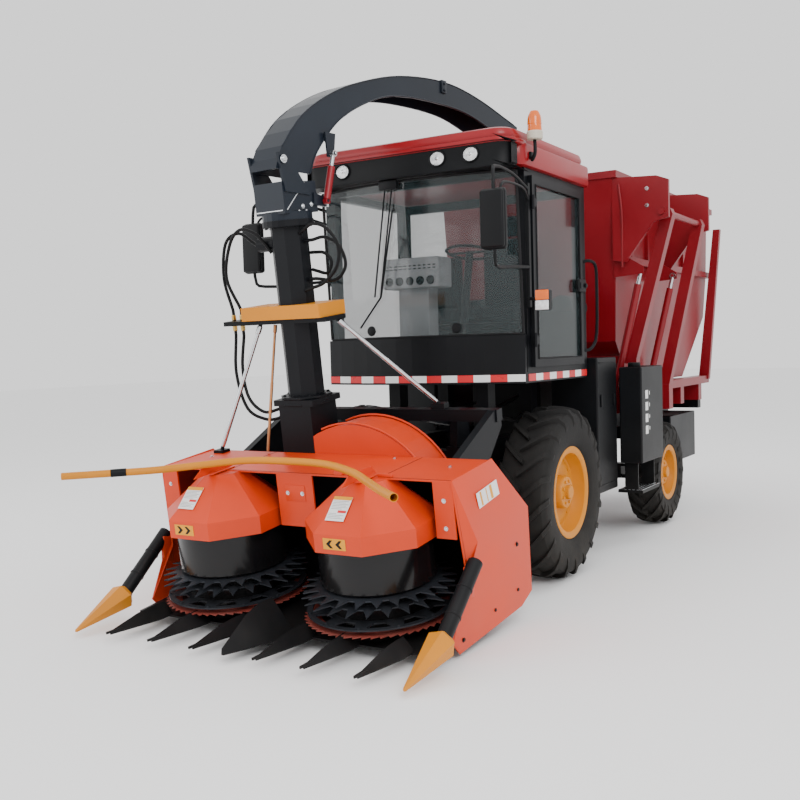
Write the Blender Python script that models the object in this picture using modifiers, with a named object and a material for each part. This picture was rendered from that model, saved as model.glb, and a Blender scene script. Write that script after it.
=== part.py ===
"""Forage harvester: a self-propelled four-wheel machine with a two-rotor front header, a discharge
spout over the cab and a side-tipping crop bin.

Metres, +Z up, the machine faces -Y and its left side is +X. Every shape is laid out in stations:
Y measured from the front axle. The empty "machine" then moves the whole machine so that the middle
of its length is at Y = 0."""

import math

import bmesh
import bpy
import numpy as np
from mathutils import Matrix, Vector

GAP = 0.0003  # between pieces that touch

# --- overall -------------------------------------------------------------------------------------
HALF_WIDTH = 1.30  # tipping brackets on the left, mirror on the right
NOSE_Y = -2.7945  # front of the push bar's cut ends
BAR_END_Y = -2.778
TAIL_Y = 4.66  # rear rail of the bin
FRONT_AXLE_Y = -(NOSE_Y + TAIL_Y) / 2
BACK = math.radians(90)

# --- wheels and axles ----------------------------------------------------------------------------
FRONT_R, FRONT_W, FRONT_X = 0.6325, 0.38, 0.83
REAR_R, REAR_W, REAR_X, REAR_AXLE_Y = 0.4825, 0.32, 0.84, 2.50
FRONT_BEAD_R, FRONT_BEAD_W = 0.315, 0.28
REAR_BEAD_R, REAR_BEAD_W = 0.235, 0.24
KINGPIN_X = 0.60
HUB_R = 0.12
WHEEL_STEPS = 24  # tyre and rim share their facets, so they touch without overlap

# --- chassis -------------------------------------------------------------------------------------
RAIL_X, RAIL_W, RAIL_LO, RAIL_HI = 0.38, 0.10, 0.86, 1.02
RAIL_FRONT, RAIL_REAR = -0.70, 4.36
TANK_IN = 0.905  # inner face of the tank in front of the left rear wheel
LIFT_Y, LIFT_Z = -0.60, 1.22  # the header's pivot
PIN_GAP = 0.0007  # between a pin and its bore
PIVOT_R = 0.030

# --- cab -----------------------------------------------------------------------------------------
CAB_X, CAB_FRONT, CAB_BACK = 0.83, -0.39, 0.76
FLOOR_LO, FLOOR_HI, PANEL_HI = 1.45, 1.527, 1.79
FRAME_HI, ROOF_HI = 2.95, 3.20
BOW, LEAN = 0.15, 0.075  # bulge of the windscreen, and how far its head leans out
PILLAR = 0.06
DOOR_X, DOOR_T = 0.8308, 0.032
DOOR_FRONT, DOOR_BACK, DOOR_LO, DOOR_HI = -0.33, 0.62, 1.56, 2.90
DOOR_HINGE = (0.874, -0.345)

# --- header --------------------------------------------------------------------------------------
TILT = math.radians(7.2)  # how far the header's nose is down
HEAD_Y, HEAD_Z = -1.925, 0.15  # foot of the rotor shafts
ROTOR_X, SAW_R, TOOTH_R, DRUM_R, COVER_R = 0.55, 0.455, 0.464, 0.344, 0.41
DECK_B, DECK_BACK, DECK_T = 0.835, 0.504, 0.010
HEADER_X, SIDE_T = 1.09, 0.040
FLOOR_B, PLATE = -0.045, 0.012
TOWER_X, TOWER_A, TOWER_W = -0.33, 0.655, 0.232
TOWER_FOOT, TOWER_TOP = 1.19, 2.36

# --- spout ---------------------------------------------------------------------------------------
YAW = math.radians(7.2)  # the spout points this far to the left of straight back
SPOUT_HALF, SPOUT_T = 0.12, 0.010
SPOUT_PIN = (-0.15, 2.93)  # along the spout, height
LIFT_FOOT, LIFT_EYE, LIFT_SIDE = (0.22, 2.70), (0.30, 3.02), 0.165
LIFT_BORES = (0.0107, 0.0135)  # the rod's eye is slack, as the spout's pin swings a little off its line
SPOUT_OUTER = [(-0.19, 2.87), (-0.13, 3.02), (0.06, 3.244), (0.32, 3.42), (0.625, 3.557),
               (1.09, 3.693), (1.63, 3.755), (2.09, 3.715), (2.64, 3.589), (2.70, 3.57)]
SPOUT_INNER = [(2.64, 3.40), (2.24, 3.502), (1.89, 3.568), (1.45, 3.572), (1.03, 3.534),
               (0.73, 3.437), (0.42, 3.262), (0.20, 3.03), (0.12, 2.87)]

# --- bin -----------------------------------------------------------------------------------------
BIN_X, BIN_HI, BIN_LO, BIN_MID = 0.82, 3.18, 1.345, 2.44
BIN_WALL, RAIL_OUT = 0.008, 0.045
TIP_X, TIP_Z = 1.24, 2.80  # the tipping axis
SHAFT_R = 0.028
POST_FOOT_X, POST_W, POSTS_Y = 0.90, 0.10, (1.66, 2.62)
BRACKETS_Y = ((1.46, 1.50), (2.76, 2.80))
CYLINDERS_Y = (1.555, 2.505)
CYL_FOOT, CYL_EYE = (0.80, 1.36), (1.03, 2.33)
TIP_BORES = (0.0128, 0.0128)
SILL_LO, SILL_HI = RAIL_HI + GAP, 1.12

BLACK = ((0.012, 0.014, 0.018), 0.42, 0.1)
DARK = ((0.02, 0.022, 0.025), 0.6, 0.0)
RUBBER = ((0.02, 0.02, 0.021), 0.85, 0.0)
ORANGE = ((0.80, 0.095, 0.028), 0.38, 0.0)
CRIMSON = ((0.42, 0.016, 0.024), 0.36, 0.0)
YELLOW = ((0.83, 0.33, 0.012), 0.40, 0.0)
STEEL = ((0.55, 0.56, 0.58), 0.30, 0.9)
GREY = ((0.42, 0.43, 0.44), 0.55, 0.0)
GLASS = ((0.55, 0.62, 0.64), 0.05, 0.0)
AMBER = ((0.90, 0.28, 0.02), 0.25, 0.0)
SLATE = ((0.035, 0.042, 0.055), 0.35, 0.2)

for old in list(bpy.data.objects):
    bpy.data.objects.remove(old, do_unlink=True)
parts = bpy.data.collections.new("forage_harvester")
shop = bpy.data.collections.new("cutters")
for collection in (parts, shop):
    bpy.context.scene.collection.children.link(collection)


# ================================================================================ shape helpers
def placed(name, mesh):
    obj = bpy.data.objects.new(name, mesh)
    shop.objects.link(obj)
    return obj


def from_bmesh(bm, name="shape"):
    bmesh.ops.recalc_face_normals(bm, faces=bm.faces[:])
    mesh = bpy.data.meshes.new(name)
    bm.to_mesh(mesh)
    bm.free()
    return placed(name, mesh)


def baked(obj, weld=0.00001):
    """The object with its modifiers, or its curve, turned into a plain closed mesh."""
    bpy.context.view_layer.update()
    graph = bpy.context.evaluated_depsgraph_get()
    mesh = bpy.data.meshes.new_from_object(obj.evaluated_get(graph), depsgraph=graph)
    bm = bmesh.new()
    bm.from_mesh(mesh)
    bm.transform(obj.matrix_world)
    if weld:
        bmesh.ops.remove_doubles(bm, verts=bm.verts[:], dist=weld)
    bmesh.ops.recalc_face_normals(bm, faces=bm.faces[:])
    bm.to_mesh(mesh)
    bm.free()
    bpy.data.objects.remove(obj, do_unlink=True)
    return placed("shape", mesh)


def box(lo, hi, bevel=0.0):
    bm = bmesh.new()
    bmesh.ops.create_cube(bm, size=1.0)
    for v in bm.verts:
        v.co = Vector([lo[i] + (hi[i] - lo[i]) * (v.co[i] + 0.5) for i in range(3)])
    if bevel:
        bmesh.ops.bevel(bm, geom=bm.edges[:], offset=bevel, segments=2, profile=0.5,
                        affect="EDGES")
    return from_bmesh(bm)


def along(p, q, twist=0.0):
    """A matrix whose Z runs from p to q, with its middle between them."""
    p, q = Vector(p), Vector(q)
    turn = (q - p).to_track_quat("Z", "Y").to_matrix().to_4x4()
    return Matrix.Translation((p + q) / 2) @ turn @ Matrix.Rotation(twist, 4, "Z")


def rod(p, q, r, sides=20, r_end=None, twist=0.0):
    bm = bmesh.new()
    bmesh.ops.create_cone(bm, cap_ends=True, segments=sides, radius1=r,
                          radius2=r if r_end is None else r_end,
                          depth=(Vector(q) - Vector(p)).length, matrix=along(p, q, twist))
    return from_bmesh(bm)


def prism(points, lo, hi, axis="X"):
    """A flat outline pushed from lo to hi along an axis. Points are (Y, Z), (X, Z) or (X, Y)."""
    data = bpy.data.curves.new("outline", "CURVE")
    data.dimensions = "2D"
    data.fill_mode = "BOTH"
    data.extrude = (hi - lo) / 2
    spline = data.splines.new("POLY")
    spline.points.add(len(points) - 1)
    for point, (u, v) in zip(spline.points, points):
        point.co = (u, v, 0, 1)
    spline.use_cyclic_u = True
    obj = placed("outline", data)
    mid = (lo + hi) / 2
    obj.matrix_world = {
        "X": Matrix(((0, 0, 1, mid), (1, 0, 0, 0), (0, 1, 0, 0), (0, 0, 0, 1))),
        "Y": Matrix(((1, 0, 0, 0), (0, 0, -1, mid), (0, 1, 0, 0), (0, 0, 0, 1))),
        "Z": Matrix.Translation((0, 0, mid)),
    }[axis]
    return baked(obj)


def pipe(points, r, resolution=3):
    data = bpy.data.curves.new("route", "CURVE")
    data.dimensions = "3D"
    data.bevel_depth = r
    data.bevel_resolution = resolution
    data.use_fill_caps = True
    spline = data.splines.new("POLY")
    spline.points.add(len(points) - 1)
    for point, co in zip(spline.points, points):
        point.co = (*co, 1)
    return baked(placed("route", data))


def smooth_route(points, per_span=5):
    """Points along a smooth curve through the given ones."""
    knots = [np.array(p, float) for p in points]
    knots = [2 * knots[0] - knots[1]] + knots + [2 * knots[-1] - knots[-2]]
    out = []
    for i in range(1, len(knots) - 2):
        a, b, c, d = knots[i - 1:i + 3]
        for k in range(per_span):
            t = k / per_span
            out.append(0.5 * (2 * b + (c - a) * t + (2 * a - 5 * b + 4 * c - d) * t * t
                              + (3 * b - a - 3 * c + d) * t ** 3))
    out.append(knots[-2])
    return [tuple(float(x) for x in p) for p in out]


def turned(profile, matrix, steps=32, closed=False):
    """A profile of (radius, height) spun about its Z axis, then placed by a matrix."""
    mesh = bpy.data.meshes.new("profile")
    edges = [(i, i + 1) for i in range(len(profile) - 1)]
    if closed:
        edges.append((len(profile) - 1, 0))
    mesh.from_pydata([(r, 0, h) for r, h in profile], edges, [])
    obj = placed("profile", mesh)
    screw = obj.modifiers.new("turn", "SCREW")
    screw.angle = 2 * math.pi
    screw.steps = screw.render_steps = steps
    screw.use_merge_vertices = True
    screw.merge_threshold = 0.00001
    obj.matrix_world = matrix
    return baked(obj)


def combined(operation, base, others):
    for other in others:
        modifier = base.modifiers.new("combine", "BOOLEAN")
        modifier.operation = operation
        modifier.solver = "EXACT"
        modifier.object = other
        base = baked(base, 0)
        bpy.data.objects.remove(other, do_unlink=True)
    return base


def fuse(*shapes):
    return combined("UNION", shapes[0], shapes[1:])


def cut(base, *cutters):
    return combined("DIFFERENCE", base, cutters)


def moved(obj, matrix):
    obj.data.transform(matrix)
    return obj


def header(obj):
    """Turns a shape drawn on the level header nose down and puts it in its place."""
    return moved(obj, Matrix.Translation((0, HEAD_Y, HEAD_Z)) @ Matrix.Rotation(TILT, 4, "X"))


def header_point(x, a, b):
    return (x, HEAD_Y + a * math.cos(TILT) - b * math.sin(TILT),
            HEAD_Z + a * math.sin(TILT) + b * math.cos(TILT))


def spout_point(t, z, n=0.0):
    """A point t along the spout, at height z and n to its left."""
    foot = header_point(TOWER_X, TOWER_A, TOWER_TOP + 0.2)
    return (foot[0] + t * math.sin(YAW) + n * math.cos(YAW),
            foot[1] + t * math.cos(YAW) - n * math.sin(YAW), z)


def star(teeth, r_in, r_out, skew=0.5):
    """The outline of a toothed ring."""
    points = []
    for i in range(teeth):
        for r, share in ((r_in, 0.0), (r_out, skew)):
            angle = 2 * math.pi * (i + share) / teeth
            points.append((r * math.cos(angle), r * math.sin(angle)))
    return points


# ================================================================================ bodies and nodes
bodies = {}


def body(name, point, parent="machine"):
    empty = bpy.data.objects.new(name, None)
    empty.empty_display_size = 0.2
    parts.objects.link(empty)
    if parent in bodies:
        empty.parent = bodies[parent][0]
        empty.location = Vector(point) - bodies[parent][1]
    else:
        empty.location = point
    bodies[name] = (empty, Vector(point))


def node(name, obj, look, at="machine", smooth=False):
    colour, roughness, metallic = look
    material = bpy.data.materials.new(name)
    material.use_nodes = True
    shader = material.node_tree.nodes["Principled BSDF"]
    shader.inputs["Base Color"].default_value = (*colour, 1)
    shader.inputs["Roughness"].default_value = roughness
    shader.inputs["Metallic"].default_value = metallic
    if look is GLASS:
        shader.inputs["Transmission Weight"].default_value = 0.9
    obj.name = obj.data.name = name
    obj.data.materials.clear()
    obj.data.materials.append(material)
    if smooth:
        obj.data.shade_smooth()
        obj.data.set_sharp_from_angle(angle=math.radians(35))
    shop.objects.unlink(obj)
    parts.objects.link(obj)
    empty, origin = bodies[at]
    obj.parent = empty
    obj.location = -origin if at != "machine" else (0, 0, 0)
    return obj


bodies["machine"] = (bpy.data.objects.new("machine", None), Vector((0, 0, 0)))
parts.objects.link(bodies["machine"][0])
bodies["machine"][0].location = (0, FRONT_AXLE_Y, 0)

# ================================================================================ wheels
TURN = Matrix.Rotation(BACK, 4, "Y")  # the profile's height becomes +X


def tyre(radius, width, bead_r, bead_w, centre):
    half, bead = width / 2, bead_w / 2
    wall = 0.5 * (radius + bead_r)
    side = [(bead_r, bead), (bead_r + 0.032, bead), (wall, half), (radius - 0.05, half - 0.01),
            (radius, half - 0.07)]
    profile = side + [(r, -h) for r, h in reversed(side)]
    return turned(profile, Matrix.Translation(centre) @ TURN, WHEEL_STEPS, closed=True)


def rim(bead_r, bead_w, dish, hub_out, hub_in, centre):
    """Outward is the profile's +height: lips hold the tyre, a dished disc carries the hub."""
    edge, lip = bead_w / 2 + GAP, bead_w / 2 + 0.012
    barrel = bead_r - GAP
    profile = [(0, hub_out), (HUB_R, hub_out), (HUB_R, dish + 0.007), (barrel - 0.018, dish + 0.007),
               (barrel - 0.015, lip), (bead_r + 0.024, lip), (bead_r + 0.024, edge), (barrel, edge),
               (barrel, -edge), (bead_r + 0.024, -edge), (bead_r + 0.024, -lip), (barrel - 0.015, -lip),
               (barrel - 0.018, dish - 0.007), (HUB_R, dish - 0.007), (HUB_R, hub_in), (0, hub_in)]
    return turned(profile, Matrix.Translation(centre) @ TURN, WHEEL_STEPS)


FRONT_HUB_IN, REAR_HUB_IN = -0.07, -0.02
wheels = (
    ("front", FRONT_R, FRONT_W, FRONT_BEAD_R, FRONT_BEAD_W, FRONT_X, 0.0, 0.04, 0.15, FRONT_HUB_IN),
    ("rear", REAR_R, REAR_W, REAR_BEAD_R, REAR_BEAD_W, REAR_X, REAR_AXLE_Y, 0.04, 0.12, REAR_HUB_IN),
)
for side, flip in (("left", False), ("right", True)):
    sign = -1 if flip else 1
    body(f"rear_{side}_knuckle_body", (sign * KINGPIN_X, REAR_AXLE_Y, REAR_R))
for end, radius, width, bead_r, bead_w, wheel_x, y, dish, hub_out, hub_in in wheels:
    for side, sign in (("left", 1), ("right", -1)):
        name = f"{end}_{side}"
        parent = "machine" if end == "front" else f"rear_{side}_knuckle_body"
        body(f"{name}_wheel", (sign * wheel_x, y, radius), parent)
        rubber = tyre(radius, width, bead_r, bead_w, (wheel_x, y, radius))
        steel = rim(bead_r, bead_w, dish, hub_out, hub_in, (wheel_x, y, radius))
        if sign < 0:
            for shape in (rubber, steel):
                shape.data.transform(Matrix.Scale(-1, 4, (1, 0, 0)))
                shape.data.flip_normals()
        node(f"{name}_tyre", rubber, RUBBER, f"{name}_wheel", smooth=True)
        node(f"{name}_rim", steel, YELLOW, f"{name}_wheel", smooth=True)

# ================================================================================ axles
axle_end = FRONT_X + FRONT_HUB_IN - GAP
front_axle = fuse(
    rod((-axle_end + 0.10, 0, FRONT_R), (axle_end - 0.10, 0, FRONT_R), 0.09, 20),
    rod((-axle_end, 0, FRONT_R), (-axle_end + 0.14, 0, FRONT_R), 0.13, 24),
    rod((axle_end - 0.14, 0, FRONT_R), (axle_end, 0, FRONT_R), 0.13, 24),
    rod((-0.16, 0, FRONT_R), (0.16, 0, FRONT_R), 0.19, 20),
    box((RAIL_X - 0.07, -0.08, FRONT_R), (RAIL_X + 0.07, 0.08, RAIL_LO - GAP)),
    box((-RAIL_X - 0.07, -0.08, FRONT_R), (-RAIL_X + 0.07, 0.08, RAIL_LO - GAP)),
)
node("front_axle", front_axle, BLACK)

rear_axle = fuse(
    box((-0.52, REAR_AXLE_Y - 0.06, REAR_R - 0.07), (0.52, REAR_AXLE_Y + 0.06, REAR_R + 0.07)),
    box((-0.14, REAR_AXLE_Y - 0.10, REAR_R), (0.14, REAR_AXLE_Y + 0.10, 0.74)),
    box((-RAIL_X - 0.05, REAR_AXLE_Y - 0.10, 0.70),
        (RAIL_X + 0.05, REAR_AXLE_Y + 0.10, RAIL_LO - GAP)),
    *[box((min(s * 0.50, s * (KINGPIN_X + 0.04)), REAR_AXLE_Y - 0.05, REAR_R + lo),
          (max(s * 0.50, s * (KINGPIN_X + 0.04)), REAR_AXLE_Y + 0.05, REAR_R + hi))
      for s in (1, -1) for lo, hi in ((0.045, 0.07), (-0.07, -0.045))],
)
node("rear_axle", rear_axle, BLACK)

for side, sign in (("left", 1), ("right", -1)):
    at = f"rear_{side}_knuckle_body"
    reach = REAR_X + REAR_HUB_IN - GAP
    knuckle = fuse(
        rod((KINGPIN_X, REAR_AXLE_Y, REAR_R - 0.045 + GAP),
            (KINGPIN_X, REAR_AXLE_Y, REAR_R + 0.045 - GAP), 0.045, 20),
        rod((KINGPIN_X + 0.01, REAR_AXLE_Y, REAR_R), (reach - 0.03, REAR_AXLE_Y, REAR_R), 0.035, 16),
        rod((reach - 0.05, REAR_AXLE_Y, REAR_R), (reach, REAR_AXLE_Y, REAR_R), 0.10, 24),
    )
    if sign < 0:
        knuckle.data.transform(Matrix.Scale(-1, 4, (1, 0, 0)))
        knuckle.data.flip_normals()
    node(f"rear_{side}_knuckle", knuckle, BLACK, at)

# ================================================================================ chassis
frame_bits = []
for sign in (1, -1):
    x = sign * RAIL_X
    frame_bits.append(box((x - RAIL_W / 2, RAIL_FRONT, RAIL_LO), (x + RAIL_W / 2, RAIL_REAR, RAIL_HI)))
    frame_bits.append(prism([(LIFT_Y - 0.09, RAIL_HI - 0.05), (LIFT_Y + 0.16, RAIL_HI - 0.05),
                             (LIFT_Y + 0.06, LIFT_Z + 0.07), (LIFT_Y - 0.06, LIFT_Z + 0.07)],
                            x - 0.03, x + 0.03))
    frame_bits.append(rod((x, LIFT_Y, LIFT_Z), (x - sign * 0.15, LIFT_Y, LIFT_Z), PIVOT_R, 20))
    for y in (-0.16, 0.62):
        frame_bits.append(box((x - 0.05, y - 0.06, RAIL_HI - 0.02), (x + 0.05, y + 0.06, FLOOR_LO - GAP)))
for y, half in ((RAIL_FRONT, 0.09), (0.40, 0.06), (1.80, 0.05), (3.30, 0.05)):
    frame_bits.append(box((-RAIL_X, y, RAIL_LO + 0.02), (RAIL_X, y + 2 * half, RAIL_HI - 0.03)))
frame_bits.append(box((-0.80, 4.22, RAIL_HI - 0.04), (0.80, 4.33, RAIL_HI + 0.08 - 0.001)))
for y, reach in ((1.02, 0.50), (1.56, TANK_IN)):
    frame_bits.append(box((RAIL_X, y, 0.88), (reach - GAP, y + 0.09, 0.98)))
    frame_bits.append(box((-0.62 + GAP, y, 0.88), (-RAIL_X, y + 0.09, 0.98)))
node("main_frame", fuse(*frame_bits), BLACK)

engine = fuse(box((-0.32, 0.98, 0.80), (0.32, 1.56, 1.40), 0.02),
              box((-0.20, 0.98, 0.62), (0.20, 1.50, 0.85)),
              *[box((-0.33 + GAP, y, 0.90), (0.33 - GAP, y + 0.08, 0.96)) for y in (1.08, 1.40)])
node("engine", engine, DARK)

radiator = fuse(
    box((-0.62, 0.86, 1.62), (0.30, 1.16, 2.12), 0.02),
    box((-0.60, 0.94, 1.40 + GAP), (-0.50, 1.08, 1.66)),
    box((0.18, 0.99, 1.40 + GAP), (0.28, 1.10, 1.66)),
    rod((0.56, 0.90, 2.02), (0.56, 1.24, 2.02), 0.10, 20),
    rod((0.25, 1.02, 2.00), (0.56, 1.02, 2.00), 0.05, 14),
    box((-0.60, 0.94, 1.38), (-0.02, 1.08, 1.46)),
)
radiator = cut(radiator, box((-0.33, 0.5, 1.0), (0.33, 2.0, 1.40 + GAP)))
node("radiator", radiator, BLACK)

side_tank = box((0.50, 0.80, 0.50), (0.90, 1.26, 1.60), 0.012)
node("side_tank", side_tank, BLACK)
fuel_tank = fuse(
    box((TANK_IN, 1.30, 0.70), (1.10, 1.90, 1.51), 0.012),
    box((TANK_IN - 0.04, 1.36, 0.44), (1.08, 1.82, 0.465)),
    box((TANK_IN + 0.02, 1.362, 0.45), (1.04, 1.375, 0.74)),
    box((TANK_IN + 0.02, 1.805, 0.45), (1.04, 1.818, 0.74)),
)
node("fuel_tank", fuel_tank, BLACK)
node("hydraulic_tank", box((-1.02, 0.86, 0.62), (-0.62, 1.88, 1.40), 0.012), BLACK)
rear_box = box((RAIL_X + RAIL_W / 2 + GAP, 3.16, 0.48), (0.80, 4.08, 0.96), 0.010)
node("rear_box", rear_box, BLACK)


# ================================================================================ cab
def bowed(x, reach=0.0):
    """The line of the windscreen in plan; reach moves it forward."""
    return CAB_FRONT - 0.012 - BOW * (1 - (x / CAB_X) ** 2) - reach


def bowed_wall(half, z_lo, z_hi, thick, lean=0.0, lean_from=PANEL_HI):
    xs = np.linspace(-half, half, 13)
    outline = [(float(x), bowed(x, thick)) for x in xs] + [(float(x), bowed(x)) for x in xs[::-1]]
    wall = prism(outline, z_lo, z_hi, "Z")
    for v in wall.data.vertices:
        v.co.y -= lean * max(0.0, v.co.z - lean_from) / (FRAME_HI - lean_from)
    return wall


cab_floor = fuse(
    box((-CAB_X, CAB_FRONT, FLOOR_LO), (CAB_X, CAB_BACK, FLOOR_HI)),
    bowed_wall(CAB_X, FLOOR_LO, PANEL_HI, 0.03),
    prism([(float(x), bowed(x, 0.0) - 0.005) for x in np.linspace(-CAB_X, CAB_X, 13)]
          + [(CAB_X, CAB_FRONT + 0.05), (-CAB_X, CAB_FRONT + 0.05)], FLOOR_LO, FLOOR_HI, "Z"),
)
node("cab_floor", cab_floor, BLACK)

outer, inner = CAB_X, CAB_X - PILLAR
bits = []
for sign in (1, -1):
    def side_box(y0, z0, y1, z1, depth=PILLAR, sign=sign):
        xs = sorted((sign * outer, sign * (outer - depth)))
        return box((xs[0], y0, z0), (xs[1], y1, z1))
    bits.append(side_box(CAB_FRONT, FLOOR_HI + GAP, CAB_FRONT + PILLAR + 0.02, FRAME_HI))
    bits.append(side_box(CAB_BACK - 0.13, FLOOR_HI + GAP, CAB_BACK, FRAME_HI))
    bits.append(side_box(CAB_FRONT + 0.01, FLOOR_HI + GAP, CAB_BACK - 0.01, FLOOR_HI + 0.045))
    bits.append(side_box(CAB_FRONT + 0.01, FRAME_HI - 0.06, CAB_BACK - 0.01, FRAME_HI))
bits.append(box((-inner - 0.01, CAB_BACK - 0.04, FLOOR_HI + GAP), (inner + 0.01, CAB_BACK, 1.98)))
bits.append(box((-inner - 0.01, CAB_BACK - 0.04, FRAME_HI - 0.07), (inner + 0.01, CAB_BACK, FRAME_HI)))
bits.append(box((-inner - 0.01, CAB_FRONT, FRAME_HI - 0.05), (inner + 0.01, CAB_FRONT + 0.05, FRAME_HI)))
# the grab handle behind the door stands on the rear pillar
bits.append(pipe(smooth_route([(outer - 0.01, CAB_BACK - 0.05, 2.36), (outer + 0.04, CAB_BACK - 0.02, 2.37),
                               (outer + 0.06, CAB_BACK + 0.06, 2.34), (outer + 0.06, CAB_BACK + 0.09, 2.20),
                               (outer + 0.05, CAB_BACK + 0.10, 1.80), (outer + 0.03, CAB_BACK + 0.03, 1.68),
                               (outer - 0.01, CAB_BACK - 0.04, 1.66)], 3), 0.013, 2))
node("cab_frame", fuse(*bits), BLACK)


def rounded_slab(x, y0, y1, z0, z1, corner, top_in=0.0):
    """A slab with round corners in plan, drawn in towards the top."""
    points = []
    for cx, cy, start in ((x - corner, y1 - corner, 0), (-x + corner, y1 - corner, 90),
                          (-x + corner, y0 + corner, 180), (x - corner, y0 + corner, 270)):
        for k in range(5):
            angle = math.radians(start + 22.5 * k)
            points.append((cx + corner * math.cos(angle), cy + corner * math.sin(angle)))
    slab = prism(points, z0, z1, "Z")
    if top_in:
        for v in slab.data.vertices:
            if v.co.z > (z0 + z1) / 2:
                mid_y = (y0 + y1) / 2
                v.co.x *= 1 - top_in / x
                v.co.y = mid_y + (v.co.y - mid_y) * (1 - top_in / x)
    return slab


FASCIA_BACK = -0.50
cab_roof = cut(
    fuse(rounded_slab(0.87, FASCIA_BACK, 0.82, FRAME_HI + GAP, 3.11, 0.14),
         rounded_slab(0.87, FASCIA_BACK - 0.19, 0.82, 3.10, ROOF_HI, 0.14, 0.07)),
    box((-0.80, CAB_FRONT + 0.08, FRAME_HI - 0.1), (0.80, CAB_BACK - 0.06, FRAME_HI + 0.06)),
)
node("cab_roof", cab_roof, CRIMSON)
fascia = cut(rounded_slab(0.85, FASCIA_BACK - 0.17, FASCIA_BACK + 0.4, 2.93, 3.10 - GAP, 0.13, -0.012),
             box((-1, FASCIA_BACK - GAP, 2.5), (1, 1, 3.5)))
node("roof_fascia", fascia, BLACK)

windshield = bowed_wall(CAB_X - 0.01, PANEL_HI + GAP, 2.925, 0.008, LEAN)
node("windshield", windshield, GLASS)
side_window = box((-outer + 0.02, CAB_FRONT + PILLAR + 0.02 + GAP, FLOOR_HI + 0.045 + GAP),
                  (-outer + 0.028, CAB_BACK - 0.13 - GAP, FRAME_HI - 0.06 - GAP))
node("right_window", side_window, GLASS)
rear_window = box((-inner + GAP, CAB_BACK - 0.024, 1.98 + GAP),
                  (inner - GAP, CAB_BACK - 0.016, FRAME_HI - 0.07 - GAP))
node("rear_window", rear_window, GLASS)

body("cab_door_body", (DOOR_HINGE[0], DOOR_HINGE[1], 2.2))
FRAME = 0.055
door = cut(box((DOOR_X, DOOR_FRONT, DOOR_LO), (DOOR_X + DOOR_T, DOOR_BACK, DOOR_HI)),
           box((DOOR_X - 0.1, DOOR_FRONT + FRAME, DOOR_LO + FRAME),
               (DOOR_X + 0.1, DOOR_BACK - FRAME, DOOR_HI - FRAME)))
door = fuse(door,
            rod((DOOR_HINGE[0], DOOR_HINGE[1], 1.70), (DOOR_HINGE[0], DOOR_HINGE[1], 1.80), 0.012, 12),
            rod((DOOR_HINGE[0], DOOR_HINGE[1], 2.66), (DOOR_HINGE[0], DOOR_HINGE[1], 2.76), 0.012, 12),
            box((DOOR_X + 0.026, DOOR_HINGE[1], 1.72), (DOOR_HINGE[0] + 0.006, DOOR_FRONT + 0.04, 1.78)),
            box((DOOR_X + 0.026, DOOR_HINGE[1], 2.68), (DOOR_HINGE[0] + 0.006, DOOR_FRONT + 0.04, 2.74)),
            box((DOOR_X + 0.02, DOOR_BACK - 0.14, 2.14), (DOOR_X + 0.07, DOOR_BACK - 0.02, 2.19), 0.008))
node("cab_door", door, BLACK, "cab_door_body")
glass = box((DOOR_X + 0.012, DOOR_FRONT + FRAME + GAP, DOOR_LO + FRAME + GAP),
            (DOOR_X + 0.018, DOOR_BACK - FRAME - GAP, DOOR_HI - FRAME - GAP))
node("door_glass", glass, GLASS, "cab_door_body")


def seat(x, width, back_hi):
    y = 0.42
    return fuse(
        box((x - width / 2, y - 0.22, 1.90), (x + width / 2, y + 0.18, 2.03), 0.03),
        box((x - width / 2 + 0.02, y + 0.12, 1.95), (x + width / 2 - 0.02, y + 0.24, back_hi), 0.03),
        box((x - 0.15, y - 0.14, FLOOR_HI + GAP), (x + 0.15, y + 0.14, 1.93)),
    )


node("driver_seat", seat(0.24, 0.46, 2.58), DARK)
node("passenger_seat", seat(-0.38, 0.40, 2.46), DARK)

column = fuse(
    box((0.10, -0.24, FLOOR_HI + GAP), (0.30, -0.10, 1.80), 0.01),
    rod((0.20, -0.17, 1.75), (0.20, -0.013, 2.435), 0.03, 14),
    turned([(0.165, 0.0), (0.175, 0.012), (0.19, 0.0), (0.175, -0.012)],
           along((0.20, -0.03, 2.365), (0.20, 0.0, 2.50)), 24, closed=True),
    moved(box((-0.179, -0.012, -0.005), (0.179, 0.012, 0.005)),
          along((0.20, -0.03, 2.365), (0.20, 0.0, 2.50))),
)
node("steering_column", column, DARK)
air_unit = fuse(
    box((-0.41, -0.30, 2.17), (0.08, -0.08, 2.40), 0.015),
    box((-0.30, -0.24, FLOOR_HI + GAP), (-0.04, -0.10, 2.20)),
)
node("air_unit", air_unit, GREY)

# mirrors hang on bent tubes from the front pillars
left_mirror = fuse(
    pipe(smooth_route([(0.845, CAB_FRONT + 0.02, 2.80), (0.88, -0.70, 2.86), (0.93, -1.06, 2.85),
                       (0.95, -1.13, 2.76), (0.95, -1.13, 2.30), (0.93, -1.05, 2.22),
                       (0.87, -0.75, 2.24), (0.845, CAB_FRONT + 0.02, 2.26)], 3), 0.012, 2),
    box((0.865, -1.16, 2.32), (1.035, -1.10, 2.70), 0.02),
    box((CAB_X + GAP, CAB_FRONT + 0.002, 1.98), (0.857, CAB_FRONT + 0.034, 2.84)),
    pipe([(0.85, CAB_FRONT + 0.02, 2.04), (0.92, -0.44, 2.03), (1.00, -0.47, 2.02)], 0.012, 2),
    box((0.95, -0.52, 1.95), (1.05, -0.45, 2.09), 0.012),
)
node("left_mirror", left_mirror, BLACK)
MIRROR_X = -HALF_WIDTH + 0.085
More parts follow.
